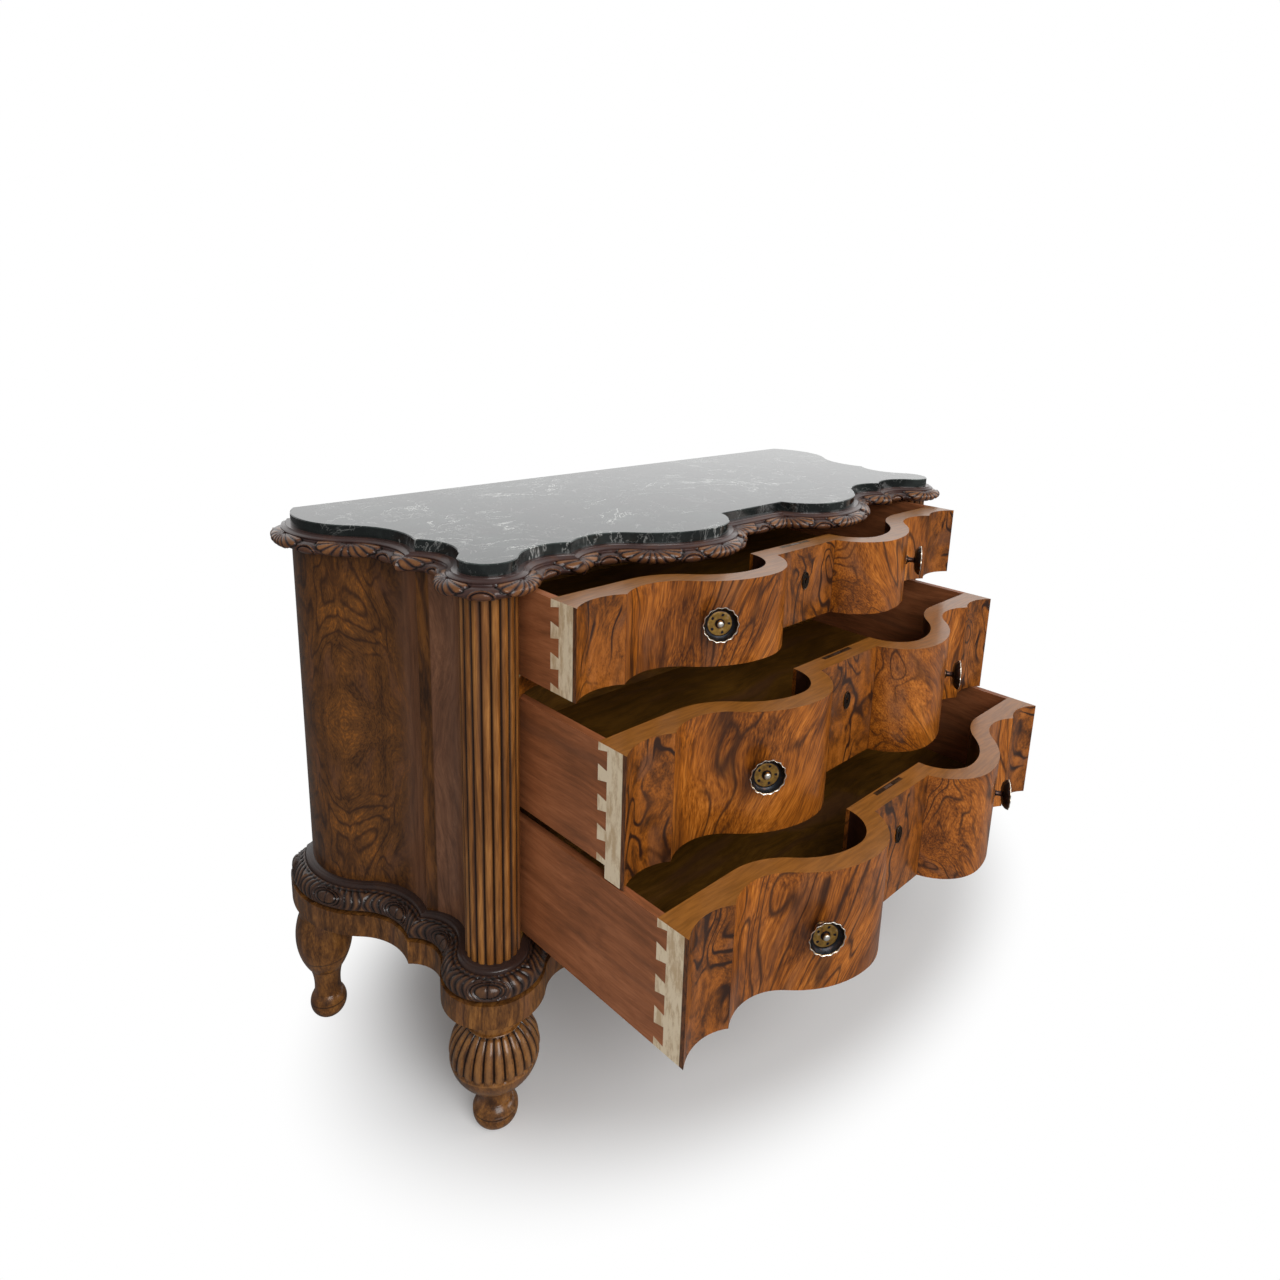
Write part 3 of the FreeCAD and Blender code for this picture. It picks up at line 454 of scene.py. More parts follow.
class Graph(Nodes):
    """The nodes of one finish. Patterns sit in the piece's own coordinates, in metres."""

    def __init__(self, name):
        self.material = bpy.data.materials.new(name)
        self.material.use_nodes = True
        super().__init__(self.material.node_tree)
        self.shader = self.tree.nodes["Principled BSDF"]
        self.place = self.add("ShaderNodeTexCoord").outputs["Object"]

    def math(self, operation, *values):
        node = self.add("ShaderNodeMath", operation=operation)
        for socket, value in zip(node.inputs, values):
            self.put(socket, value)
        return node.outputs[0]

    def plus(self, first, second):
        return self.math("ADD", first, second)

    def minus(self, first, second):
        return self.math("SUBTRACT", first, second)

    def times(self, first, second):
        return self.math("MULTIPLY", first, second)

    def split(self, vector):
        return self.fill(self.add("ShaderNodeSeparateXYZ"), {0: vector})

    def join(self, x, y, z):
        node = self.add("ShaderNodeCombineXYZ")
        for socket, value in zip(node.inputs, (x, y, z)):
            self.put(socket, value)
        return node.outputs[0]

    def scaled(self, vector, scale, shift=(0, 0, 0)):
        node = self.add("ShaderNodeMapping")
        return self.fill(node, {"Vector": vector, "Scale": scale, "Location": shift})[0]

    def noise(self, vector, scale, shift=(0, 0, 0), detail=3.0, rough=0.5, warp=0.0):
        node = self.add("ShaderNodeTexNoise")
        return self.fill(node, {"Vector": self.scaled(vector, scale, shift), "Scale": 1.0, "Detail": detail,
                                "Roughness": rough, "Distortion": warp})["Fac"]

    def step(self, value, low, high):
        """0 below the low value, 1 above the high one, smooth between."""
        node = self.add("ShaderNodeMapRange", interpolation_type="SMOOTHSTEP")
        return self.fill(node, {"Value": value, "From Min": low, "From Max": high})["Result"]

    def line(self, value, centre, width):
        """1 where a value passes its centre, 0 a width away from it."""
        gap = self.math("ABSOLUTE", self.minus(value, centre))
        return self.minus(1.0, self.step(gap, 0.0, width))

    def mix(self, share, first, second):
        node = self.add("ShaderNodeMix", data_type="RGBA")
        for number, value in ((0, share), (6, first), (7, second)):
            colour = (*value, 1.0) if isinstance(value, tuple) else value
            self.put(node.inputs[number], colour)
        return node.outputs[2]

    def ramp(self, value, stops):
        node = self.add("ShaderNodeValToRGB")
        elements = node.color_ramp.elements
        while len(elements) < len(stops):
            elements.new(0.5)
        for element, (place, colour) in zip(elements, stops):
            element.position = place
            element.color = (*colour, 1.0)
        self.put(node.inputs[0], value)
        return node.outputs[0]

    def attribute(self, name):
        return self.add("ShaderNodeAttribute", attribute_name=name).outputs["Fac"]

    def facing(self):
        """The x, y and z of the face's own direction."""
        return self.split(self.add("ShaderNodeNewGeometry").outputs["True Normal"])

    def sway(self, vector, metres, scale=(4.5, 4.5, 3.2), shift=(0, 0, 0)):
        """The same coordinates pushed about by slow waves, so that a straight figure wanders."""
        waves = self.fill(self.add("ShaderNodeTexNoise"),
                          {"Vector": self.scaled(vector, scale, shift), "Scale": 1.0, "Detail": 2.0})
        moved = self.add("ShaderNodeVectorMath", operation="MULTIPLY_ADD")
        return self.fill(moved, {0: waves["Color"], 1: (metres, metres, metres), 2: vector})[0]

    def finish(self, colour, roughness, coat=0.0, metallic=0.0, shine=0.3):
        self.fill(self.shader, {"Base Color": colour, "Roughness": roughness, "Coat Weight": coat,
                                "Coat Roughness": COAT_ROUGHNESS, "Metallic": metallic,
                                "Specular IOR Level": shine})
        return self.material

    def grained(self, colour, lines, roughness, coat, strength=0.3):
        """The finish of a wood whose fine lines stand out a little."""
        node = self.add("ShaderNodeBump")
        relief = self.fill(node, {"Strength": strength, "Distance": GRAIN_RELIEF, "Height": lines})
        self.put(self.shader.inputs["Normal"], relief[0])
        return self.finish(colour, roughness, coat)


# Each wood's tones with their colours, from its darkest figure to its lightest, and single colours.
ORANGE = ((0.32, (0.080, 0.022, 0.004)), (0.45, (0.215, 0.060, 0.007)), (0.56, (0.360, 0.105, 0.011)),
          (0.70, (0.540, 0.180, 0.026)))
BURR = ((0.32, (0.036, 0.014, 0.005)), (0.45, (0.125, 0.037, 0.006)), (0.56, (0.280, 0.082, 0.009)),
        (0.72, (0.430, 0.140, 0.024)))
AMBER = ((0.32, (0.030, 0.011, 0.003)), (0.50, (0.085, 0.029, 0.005)), (0.70, (0.180, 0.064, 0.010)))
RED_SIDE = ((0.30, (0.225, 0.077, 0.028)), (0.50, (0.335, 0.112, 0.041)), (0.70, (0.435, 0.154, 0.060)))
DARK_RED = ((0.30, (0.020, 0.008, 0.005)), (0.50, (0.036, 0.013, 0.008)), (0.70, (0.060, 0.022, 0.012)))
OLIVE = ((0.30, (0.100, 0.043, 0.0045)), (0.50, (0.160, 0.068, 0.0075)), (0.70, (0.240, 0.106, 0.014)))
PLINTH = ((0.30, (0.055, 0.021, 0.007)), (0.45, (0.125, 0.048, 0.012)), (0.57, (0.210, 0.082, 0.018)),
          (0.72, (0.320, 0.135, 0.030)))
VIOLET = ((0.28, (0.110, 0.046, 0.023)), (0.50, (0.185, 0.078, 0.038)), (0.72, (0.270, 0.120, 0.060)))
SIDE = ((0.28, (0.038, 0.014, 0.005)), (0.43, (0.100, 0.037, 0.009)), (0.57, (0.160, 0.058, 0.012)),
        (0.74, (0.330, 0.108, 0.013)))
PALE = ((0.30, (0.300, 0.250, 0.130)), (0.50, (0.400, 0.340, 0.185)), (0.70, (0.480, 0.420, 0.240)))
REEDS = ((0.30, (0.100, 0.034, 0.007)), (0.50, (0.240, 0.088, 0.017)), (0.70, (0.430, 0.180, 0.042)))
STREAK = (0.032, 0.012, 0.006)
VIOLET_STAIN = (0.165, 0.068, 0.034)
CREAM = (0.860, 0.710, 0.500)
DIRTY_CREAM = (0.620, 0.450, 0.270)
TAN = (0.370, 0.143, 0.026)
NEAR_BLACK = (0.016, 0.008, 0.006)
SEAM = (0.060, 0.022, 0.010)
COAT_ROUGHNESS = 0.14
# How much wider the drawer fronts' figure gets in a metre of height.
FAN_SPREAD = 3.0
# Sizes of the finishes, in metres.
GRAIN_RELIEF = 0.0002
SEAM_BLUR = 0.0004
SEAM_WIDTH = 0.0009
AMBER_WIDTH = 0.017
# Depths below the reeds' crowns where the painted shade in their hollows starts and ends.
REED_SHADE_DEPTHS = (0.0028, 0.0002)
TURNED_LINE = 0.0022
REAR_FOOT_LINES = (0.030, 0.104, 0.134)


def figured(graph, vector, shift, stops, streaks, grain=(1, 1, 0.12), sway=0.16, fine=0.45, rings=30.0,
            bands=0.95):
    """Colour and fine lines of figured wood: clouds, wandering bands, dark contour lines, violet stains."""
    def along_grain(size):
        return tuple(size * share for share in grain)

    def moved_on(step):
        return tuple(value + step for value in shift)
    moved = graph.sway(vector, sway, shift=shift)
    cloud = graph.noise(vector, (9, 9, 6), shift, 2.0, 0.5)
    band = graph.noise(moved, along_grain(70), shift, 5.0, 0.62)
    lines = graph.noise(moved, along_grain(430), shift, 2.0, 0.6)
    tone = graph.plus(graph.times(cloud, 0.45), graph.times(band, bands))
    tone = graph.plus(tone, graph.times(lines, fine))
    tone = graph.minus(tone, (0.45 + bands + fine) / 2 - 0.505)
    colour = graph.ramp(tone, stops)
    stain = graph.noise(moved, along_grain(20), moved_on(5.3), 2.0, 0.5)
    stain = graph.times(graph.step(stain, 0.54, 0.70), 0.5)
    colour = graph.mix(stain, colour, VIOLET_STAIN)
    contour = graph.noise(moved, along_grain(11), moved_on(3.7), 2.0, 0.45)
    ring = graph.math("PINGPONG", graph.times(contour, rings), 1.0)
    patch = graph.step(graph.noise(moved, along_grain(16), moved_on(8.1), 2.0, 0.5), 0.36, 0.60)
    dark = graph.times(graph.step(ring, 0.55, 1.0), patch)
    return graph.mix(graph.times(dark, streaks), colour, STREAK), lines


def wood(name, stops, streaks=0.5, grain=(1, 1, 0.12), shift=(0, 0, 0), rough=0.36, coat=0.10, sway=0.08):
    graph = Graph(name)
    colour, lines = figured(graph, graph.place, shift, stops, streaks, grain, sway)
    return graph.grained(colour, lines, rough, coat)


def fanned(graph, edge, low):
    """Coordinates whose upright lines spread from the lower outer corner of each lobe, in metres."""
    x, y, z = graph.split(graph.place)
    inward = graph.minus(edge, graph.math("ABSOLUTE", x))
    spread = graph.math("MULTIPLY_ADD", graph.minus(z, low), FAN_SPREAD, 1.0)
    side = graph.times(graph.math("SIGN", x), 3.0)
    return graph.join(graph.plus(graph.math("DIVIDE", inward, spread), side), y, z)


def drawer_front(name, shift, opened, low):
    """Walnut veneer before a cream core: burr at the middle and the ends, tan on the edges, dark inside."""
    graph = Graph(name)
    x, y, _ = graph.split(graph.place)
    crease = half_plan(0)["front"][0][1][0] * MM
    edge = half_plan(0)["front"][-1][1][0] * MM
    aside = graph.math("ABSOLUTE", x)
    spread = fanned(graph, edge, low)
    flame, lines = figured(graph, spread, shift, ORANGE, 0.85, (1, 1, 0.07), 0.10, 0.6, 34.0, 0.5)
    moved = tuple(value + 11 for value in shift)
    burr, _ = figured(graph, graph.place, moved, BURR, 1.4, (1, 1, 0.40), 0.26, 0.3, 24.0, 0.6)
    ends = graph.step(aside, edge - SEAM_BLUR, edge + SEAM_BLUR)
    flat = graph.minus(1.0, graph.step(aside, crease - SEAM_BLUR, crease + SEAM_BLUR))
    show = graph.mix(graph.math("MAXIMUM", ends, flat), flame, burr)
    seam = graph.math("MAXIMUM", *(graph.line(aside, place, SEAM_WIDTH) for place in (edge, crease)))
    show = graph.mix(graph.times(seam, 0.6), show, SEAM)
    inside, _ = figured(graph, graph.place, shift, DARK_RED, 0.3, (0.1, 1, 1))
    top_grain = graph.noise(graph.sway(graph.place, 0.03), (22, 190, 60), shift, 3.0, 0.6)
    top = graph.mix(graph.step(top_grain, 0.3, 0.7), tuple(0.66 * value for value in TAN), TAN)
    stains = graph.noise(graph.place, (70, 70, 22), shift, 5.0, 0.7)
    core = graph.mix(graph.step(stains, 0.38, 0.56), DIRTY_CREAM, CREAM)
    behind = graph.minus(y, END_FACE_Y * MM - opened)
    veneer = graph.mix(graph.step(lines, 0.4, 0.6), (0.075, 0.028, 0.012), (0.17, 0.06, 0.02))
    core = graph.mix(graph.step(behind, (VENEER_SHOWN - 0.5) * MM, (VENEER_SHOWN + 0.5) * MM), veneer, core)
    across, back, up = graph.facing()
    colour = graph.mix(graph.step(back, 0.05, 0.1), show, inside)
    colour = graph.mix(graph.step(graph.math("ABSOLUTE", up), 0.8, 0.9), colour, top)
    end_face = graph.times(graph.step(graph.math("ABSOLUTE", across), 0.985, 0.99),
                          graph.step(aside, (DRAWER_HALF_WIDTH - 0.5) * MM, (DRAWER_HALF_WIDTH - 0.2) * MM))
    colour = graph.mix(end_face, colour, core)
    return graph.grained(colour, lines, 0.28, 0.12, 0.2)


def book_matched(name, middle):
    """Dark walnut mirrored both ways about the middle of the panel, with plain violet wood in the hollow."""
    graph = Graph(name)
    x, y, z = graph.split(graph.place)
    sideways = graph.math("ABSOLUTE", graph.minus(y, middle.y))
    upright = graph.math("ABSOLUTE", graph.minus(z, middle.z))
    vector = graph.join(graph.times(x, 0.3), sideways, upright)
    colour, lines = figured(graph, vector, (1, 2, 3), SIDE, 0.75, (1, 1, 0.25), 0.20, 0.6, 34.0, 0.6)
    plain, _ = figured(graph, graph.place, (4, 4, 1), VIOLET, 0.25, (1, 1, 0.08), 0.04)
    front, hollow_end = (end[1] * MM for end in half_plan(0)["side"][0][:2])
    hollow = hollow_end - front
    colour = graph.mix(graph.step(y, front + 0.2 * hollow, front + 0.6 * hollow), plain, colour)
    return graph.grained(colour, lines, 0.28, 0.12, 0.2)


def carved(name, stops):
    """Walnut with painted shade making the cuts nearly black, and ridges worn to gold under a painted
    highlight.
    """
    graph = Graph(name)
    mark = graph.attribute("carve")
    patchy = graph.noise(graph.place, (26, 26, 26), (2, 5, 1), 4.0, 0.6)
    fine = graph.noise(graph.place, (260, 260, 60), (0, 0, 0), 2.0, 0.6)
    tone = graph.plus(mark, graph.times(graph.minus(patchy, 0.5), 0.45))
    tone = graph.plus(tone, graph.times(graph.minus(fine, 0.5), 0.2))
    return graph.finish(graph.ramp(tone, stops), 0.33, 0.30)


def reeded(name):
    """Golden reeds with painted shade in their hollows, by the distance from the column's middle."""
    graph = Graph(name)
    x, y, _ = graph.split(graph.place)
    aside = graph.minus(graph.math("ABSOLUTE", x), COLUMN_X * MM)
    ahead = graph.minus(y, COLUMN_Y * MM)
    square = graph.plus(graph.times(aside, aside), graph.times(ahead, ahead))
    ridge = graph.step(graph.math("SQRT", square), *(COLUMN_R * MM - depth for depth in REED_SHADE_DEPTHS))
    colour, lines = figured(graph, graph.place, (3, 1, 2), REEDS, 0.5, (1, 1, 0.06), 0.02)
    # Painted shade: the hollows between the reeds are nearly black.
    colour = graph.mix(ridge, (0.022, 0.009, 0.005), colour)
    return graph.grained(colour, lines, 0.34, 0.15)


def corner_wood(name):
    """Violet-brown veneer with an amber strip along its rear edge."""
    graph = Graph(name)
    _, y, _ = graph.split(graph.place)
    edge = half_plan(0)["corner"][-1][1][1] * MM
    colour, lines = figured(graph, graph.place, (6, 2, 4), VIOLET, 0.35)
    amber, _ = figured(graph, graph.place, (8, 2, 4), AMBER, 0.6, (1, 1, 0.12), 0.05)
    start = edge - AMBER_WIDTH
    colour = graph.mix(graph.step(y, start, start + 0.003), colour, amber)
    return graph.grained(colour, lines, 0.32, 0.15)


def rail_wood(name):
    """A board of pale inner wood with walnut veneer on its front edge."""
    graph = Graph(name)
    veneer, lines = figured(graph, graph.place, (1, 3, 3), ORANGE, 0.5, (0.1, 1, 1), 0.08)
    pale, _ = figured(graph, graph.place, (1, 3, 3), PALE, 0.1, (0.1, 1, 1), 0.08)
    _, _, up = graph.facing()
    colour = graph.mix(graph.step(graph.math("ABSOLUTE", up), 0.8, 0.9), veneer, pale)
    return graph.grained(colour, lines, 0.36, 0.10)


def marble(name):
    """Near-black marble with grey-green clouds, thin white veins and short flecks under an uneven polish."""
    graph = Graph(name)
    cloud = graph.noise(graph.place, (5, 5, 5), (1, 1, 1), 5.0, 0.6, 1.0)
    mottle = graph.noise(graph.place, (24, 24, 24), (4, 2, 1), 5.0, 0.65, 0.6)
    wander = graph.noise(graph.place, (4.2, 6.0, 5), (7, 2, 0), 6.0, 0.62, 1.6)
    second = graph.noise(graph.place, (9.5, 7.0, 6), (2, 9, 4), 6.0, 0.65, 1.2)
    dashes = graph.noise(graph.sway(graph.place, 0.10, (6, 6, 6)), (38, 120, 90), (0, 3, 0), 2.0, 0.5)
    mixed = graph.plus(graph.times(cloud, 0.6), graph.times(mottle, 0.4))
    base = graph.ramp(mixed, ((0.38, (0.008, 0.010, 0.010)), (0.50, (0.028, 0.036, 0.034)),
                              (0.64, (0.100, 0.118, 0.112))))
    vein = graph.times(graph.line(wander, 0.5, 0.008), graph.step(cloud, 0.44, 0.64))
    thin = graph.times(graph.line(second, 0.55, 0.005), 0.4)
    short = graph.times(graph.step(dashes, 0.70, 0.77), 0.6)
    white = graph.math("MAXIMUM", graph.math("MAXIMUM", vein, thin), short)
    # Painted shade on the edges: faces that don't face up are darkened and lose most veins, unlike the lit
    # top.
    _, _, up = graph.facing()
    edge = graph.minus(1.0, graph.step(up, 0.3, 0.6))
    base = graph.mix(graph.times(edge, 0.75), base, (0.006, 0.007, 0.007))
    white = graph.times(white, graph.math("MULTIPLY_ADD", edge, -0.6, 1.0))
    colour = graph.mix(white, base, (0.72, 0.72, 0.69))
    polish = graph.math("MULTIPLY_ADD", graph.step(mixed, 0.36, 0.62), -0.18, 0.60)
    return graph.finish(colour, 0.13, shine=polish)


def foot_wood(name):
    """Walnut with painted shade between the gadroons, a painted highlight on their crowns, and worn lighter
    patches.
    """
    graph = Graph(name)
    mark = graph.attribute("carve")
    colour, lines = figured(graph, graph.place, (5, 5, 2), PLINTH, 0.35, (1, 1, 0.4), 0.06)
    wear = graph.noise(graph.place, (38, 38, 26), (9, 1, 3), 4.0, 0.65, 0.8)
    wear = graph.times(graph.step(wear, 0.57, 0.68), 0.5)
    colour = graph.mix(wear, colour, (0.300, 0.140, 0.045))
    # Painted highlight on the gadroons' crowns.
    colour = graph.mix(graph.times(graph.step(mark, 0.8, 1.0), 0.3), colour, (0.400, 0.200, 0.075))
    # Painted shade where the mark is low: between the gadroons, under the bead and on the neck.
    colour = graph.mix(graph.step(mark, 0.05, 0.7), NEAR_BLACK, colour)
    return graph.grained(colour, lines, 0.28, 0.35)


def turned_wood(name, lines_at):
    """Plain turned walnut with a dark turned line at each given height."""
    graph = Graph(name)
    _, _, z = graph.split(graph.place)
    colour, lines = figured(graph, graph.place, (1, 2, 8), PLINTH, 0.35, (1, 1, 0.35), 0.06)
    for height in lines_at:
        mark = graph.times(graph.line(z, height, TURNED_LINE), 0.85)
        colour = graph.mix(mark, colour, NEAR_BLACK)
    return graph.grained(colour, lines, 0.32, 0.25)


def metal(name, stops, rough):
    """Patinated metal: dark where its mark is low, bright on the worn edges, where high marks add a painted
    highlight.
    """
    graph = Graph(name)
    mark = graph.attribute("carve")
    patchy = graph.noise(graph.place, (120, 120, 120), (3, 3, 3), 4.0, 0.6)
    tone = graph.plus(mark, graph.times(graph.minus(patchy, 0.5), 0.7))
    return graph.finish(graph.ramp(tone, stops), rough, metallic=1.0)


def plain_metal(name, dark, bright, rough):
    graph = Graph(name)
    patchy = graph.noise(graph.place, (140, 140, 140), (3, 3, 3), 4.0, 0.6)
    return graph.finish(graph.ramp(patchy, ((0.35, dark), (0.65, bright))), rough, metallic=1.0)


def lathe(profile, columns, ripple=None):
    """Rows of a turned shape about +Z from (radius, height) pairs; a ripple adds to the radius."""
    angles = np.linspace(0, 2 * math.pi, columns, endpoint=False)
    rows = []
    for number, (radius, height) in enumerate(profile):
        radii = radius + (ripple(number, angles) if ripple else 0 * angles)
        rows.append(np.column_stack([radii * np.cos(angles), radii * np.sin(angles), 0 * angles + height]))
    return np.array(rows)


def arc_rows(start, through, end, count):
    """Points of the circle through three points, without the last one."""
    (x0, y0), (x1, y1), (x2, y2) = start, through, end
    d = 2 * (x0 * (y1 - y2) + x1 * (y2 - y0) + x2 * (y0 - y1))
    sizes = [x * x + y * y for x, y in (start, through, end)]
    cx = (sizes[0] * (y1 - y2) + sizes[1] * (y2 - y0) + sizes[2] * (y0 - y1)) / d
    cy = (sizes[0] * (x2 - x1) + sizes[1] * (x0 - x2) + sizes[2] * (x1 - x0)) / d
    radius = math.hypot(x0 - cx, y0 - cy)
    first = math.atan2(y0 - cy, x0 - cx)
    bend = math.atan2(y1 - cy, x1 - cx)
    last = math.atan2(y2 - cy, x2 - cx)
    span = (last - first) % (2 * math.pi)
    if (bend - first) % (2 * math.pi) > span:
        span -= 2 * math.pi
    angles = first + span * np.linspace(0, 1, count, endpoint=False)
    return [(cx + radius * math.cos(a), cy + radius * math.sin(a)) for a in angles]


# A turned shape's radius where it closes on its axis.
AXIS_R = 0.01
FOOT_TOP = 257.5
GADROONS = 26
GADROON_DEPTH = 4.4
GADROON_LOW = 137.0
GADROON_HIGH = 205.0
GADROON_END = 13.0
BEAD_Z = 32.5


def gadroon_share(height, angles):
    """1 on the crown of a reed, 0 between reeds and past their rounded ends."""
    across = np.abs(np.mod(angles * GADROONS / (2 * math.pi), 1) - 0.5) * 2
    low = (height - GADROON_LOW) / GADROON_END
    high = (GADROON_HIGH - height) / GADROON_END * 3
    past = np.clip(1 - np.minimum(low, high), 0, 1)
    return np.sqrt(np.clip(1 - across ** 2 - past ** 2, 0, 1))


def bead(height):
    """How far the ball's bead stands out at a height, with the groove below it."""
    return 0.9 * bell(height, BEAD_Z, 1.3) - 1.3 * bell(height, BEAD_Z - 2.8, 1.1)


def front_foot_profile():
    """(radius, height) pairs from the sole up: ball with its bead, ankle, bulb, rim and neck."""
    ball = arc_rows((22, 0), (37.5, 30), (25.5, 48), 64)
    profile = [(AXIS_R, 0.0)] + [(radius + bead(height), height) for radius, height in ball]
    profile += arc_rows((25.5, 48), (24.5, 62), (30, 83), 16)
    profile += [(30.0, 83.0), (30.8, 84.0)]
    profile += arc_rows((31.3, 85), (75, 150), (46, 205), 90)
    profile += [(46.6, 205.0), (47.2, 206.2), (46.4, 207.4), (44.0, 208.0), (44.0, 230.0)]
    return profile + [(46.0, 256.0), (46.0, FOOT_TOP), (AXIS_R, FOOT_TOP)]


def front_foot(side, sign, material):
    profile = front_foot_profile()
    angles = np.linspace(0, 2 * math.pi, GADROONS * 14, endpoint=False)

    def fluted(height):
        return GADROON_LOW < height < GADROON_HIGH

    def ripple(number, turns):
        height = profile[number][1]
        if not fluted(height):
            return 0 * turns
        edge = smooth(0, 6, min(height - GADROON_LOW, 3 * (GADROON_HIGH - height)))
        return edge * GADROON_DEPTH * (gadroon_share(height, turns) - 1)
    rows = lathe(profile, len(angles), ripple)
    marks = []
    for _, height in profile:
        # The marks paint shade under the bead, on the neck and between the gadroons, and a highlight on
        # their crowns.
        plain = 0.75 - 0.5 * max(0.0, -bead(height))
        plain = 0.45 if height > GADROON_HIGH + 3 else plain
        low = smooth(0, 9, height - GADROON_LOW)
        crest = np.clip(gadroon_share(height, angles) ** 2 * 1.2 - 0.1, 0, 1)
        reeds = 1.0 - low * (1.0 - crest)
        marks.append(reeds if fluted(height) else 0 * angles + plain)
    vertices = rows.reshape(-1, 3) + [sign * COLUMN_X, COLUMN_Y, 0]
    faces = ring_faces(len(profile), len(angles), False, True)
    name = f"foot_front_{side}"
    new_piece(f"turned_{name}", vertices, faces, material, "carcass", name, marks, 60)


KNOB_FROM_PEAK = 100.5
SCALLOPS = 14
PIERCINGS = 5
# Knob profile from its seat outwards: distance out, radius, share of the rim's scallop, mark of the finish.
# Marks near or above 1 paint a highlight on the rim's edge and the boss's tip, over worn brass.
KNOB_ROWS = ((0, AXIS_R, 0, 0.3), (0, 10.0, 0, 0.3), (1.5, 9.8, 0, 0.5), (3.0, 8.0, 0, 0.4),
             (4.2, 5.6, 0, 0.3), (8.0, 4.8, 0, 0.3), (14.0, 5.0, 0, 0.3), (15.4, 6.0, 0, 0.2),
             (16.0, 9.0, 0, 0.2), (16.8, 18.0, 0, 0.1), (18.6, 22.5, 0, 0.1), (23.0, 26.8, 0.5, 0.12),
             (26.0, 28.2, 1, 0.3), (27.4, 28.5, 1, 1.2), (28.0, 28.0, 1, 1.4), (27.6, 27.3, 0.9, 1.0),
             (26.0, 26.4, 0.3, 0.10), (23.6, 25.2, 0, 0.14), (21.4, 23.6, 0, 0.18),
             (19.8, 21.8, 0, 0.12), (19.2, 20.6, 0, 0.02), (19.5, 19.8, 0, 0.40), (19.7, 18.6, 0, 0.66),
             (19.6, 17.2, 0, 0.62), (19.6, 15.6, 0, 0.60), (19.5, 14.0, 0, 0.60), (19.4, 12.0, 0, 0.62),
             (19.3, 10.0, 0, 0.64), (19.2, 8.0, 0, 0.56), (19.2, 6.8, 0, 0.05), (20.4, 6.0, 0, 0.25),
             (23.0, 5.4, 0, 0.5), (24.8, 5.0, 0, 0.9), (25.8, 3.6, 0, 1.2), (26.4, 1.8, 0, 1.4),
             (26.5, AXIS_R, 0, 1.4))
PIERCED_REACH = (13.0, 17.0)


def knobs(drawer, opened, material):
    """Both knobs of a drawer: a scalloped dish with rings and a boss on a turned stem."""
    profile = [(radius, out) for out, radius, _, _ in KNOB_ROWS]
    columns = SCALLOPS * 6

    def ripple(number, angles):
        return KNOB_ROWS[number][2] * 0.9 * np.cos(SCALLOPS * angles)
    rows = lathe(profile, columns, ripple)
    name = f"{drawer}_drawer_knobs"
    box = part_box(name)
    height = (box[0].z + box[1].z) / 2 / MM
    parts = []
    for _, sign in SIDES:
        forward = leg(LOBE_OUTER_R, KNOB_FROM_PEAK)
        way = np.array([sign * KNOB_FROM_PEAK, -forward, 0]) / LOBE_OUTER_R
        aside = np.array([-way[1], way[0], 0])
        seat = np.array([sign * (LOBE_X + KNOB_FROM_PEAK), LOBE[1] - forward - opened / MM, height])
        flat = rows.reshape(-1, 3)
        parts.append(seat + flat[:, :1] * aside + flat[:, 1:2] * [0, 0, 1] + flat[:, 2:] * way)
    faces = ring_faces(len(profile), columns, False, True)
    count = len(profile) * columns
    pair = faces + [tuple(corner + count for corner in face) for face in faces]
    turns = np.linspace(0, 2 * math.pi, columns, endpoint=False)
    # The piercings are dark spots of painted shade where the dish is cut through.
    hole_shade = 0.9 * smooth(0.75, 0.95, np.cos(PIERCINGS * turns))
    marks = []
    for _, radius, _, mark in KNOB_ROWS:
        marks.append(mark - hole_shade * (PIERCED_REACH[0] < radius < PIERCED_REACH[1]))
    new_piece(f"dished_{name}", np.concatenate(parts), pair, material, f"{drawer}_drawer", name,
              marks + marks, 50)


KEY_EYE_R = 2.7
KEY_EYE_UP = 2.5
KEY_SLOT_HALF = 1.4
KEY_SLOT_DOWN = 6.5


def keyhole_reach(angle):
    """How far the keyhole's edge is from its middle: a round eye over a slot, in millimetres."""
    for reach in np.linspace(9, 1, 81):
        x, z = reach * math.cos(angle), reach * math.sin(angle)
        in_slot = abs(x) < KEY_SLOT_HALF and -KEY_SLOT_DOWN < z < 2
        if math.hypot(x, z - KEY_EYE_UP) < KEY_EYE_R or in_slot:
            return reach
    return 1.0


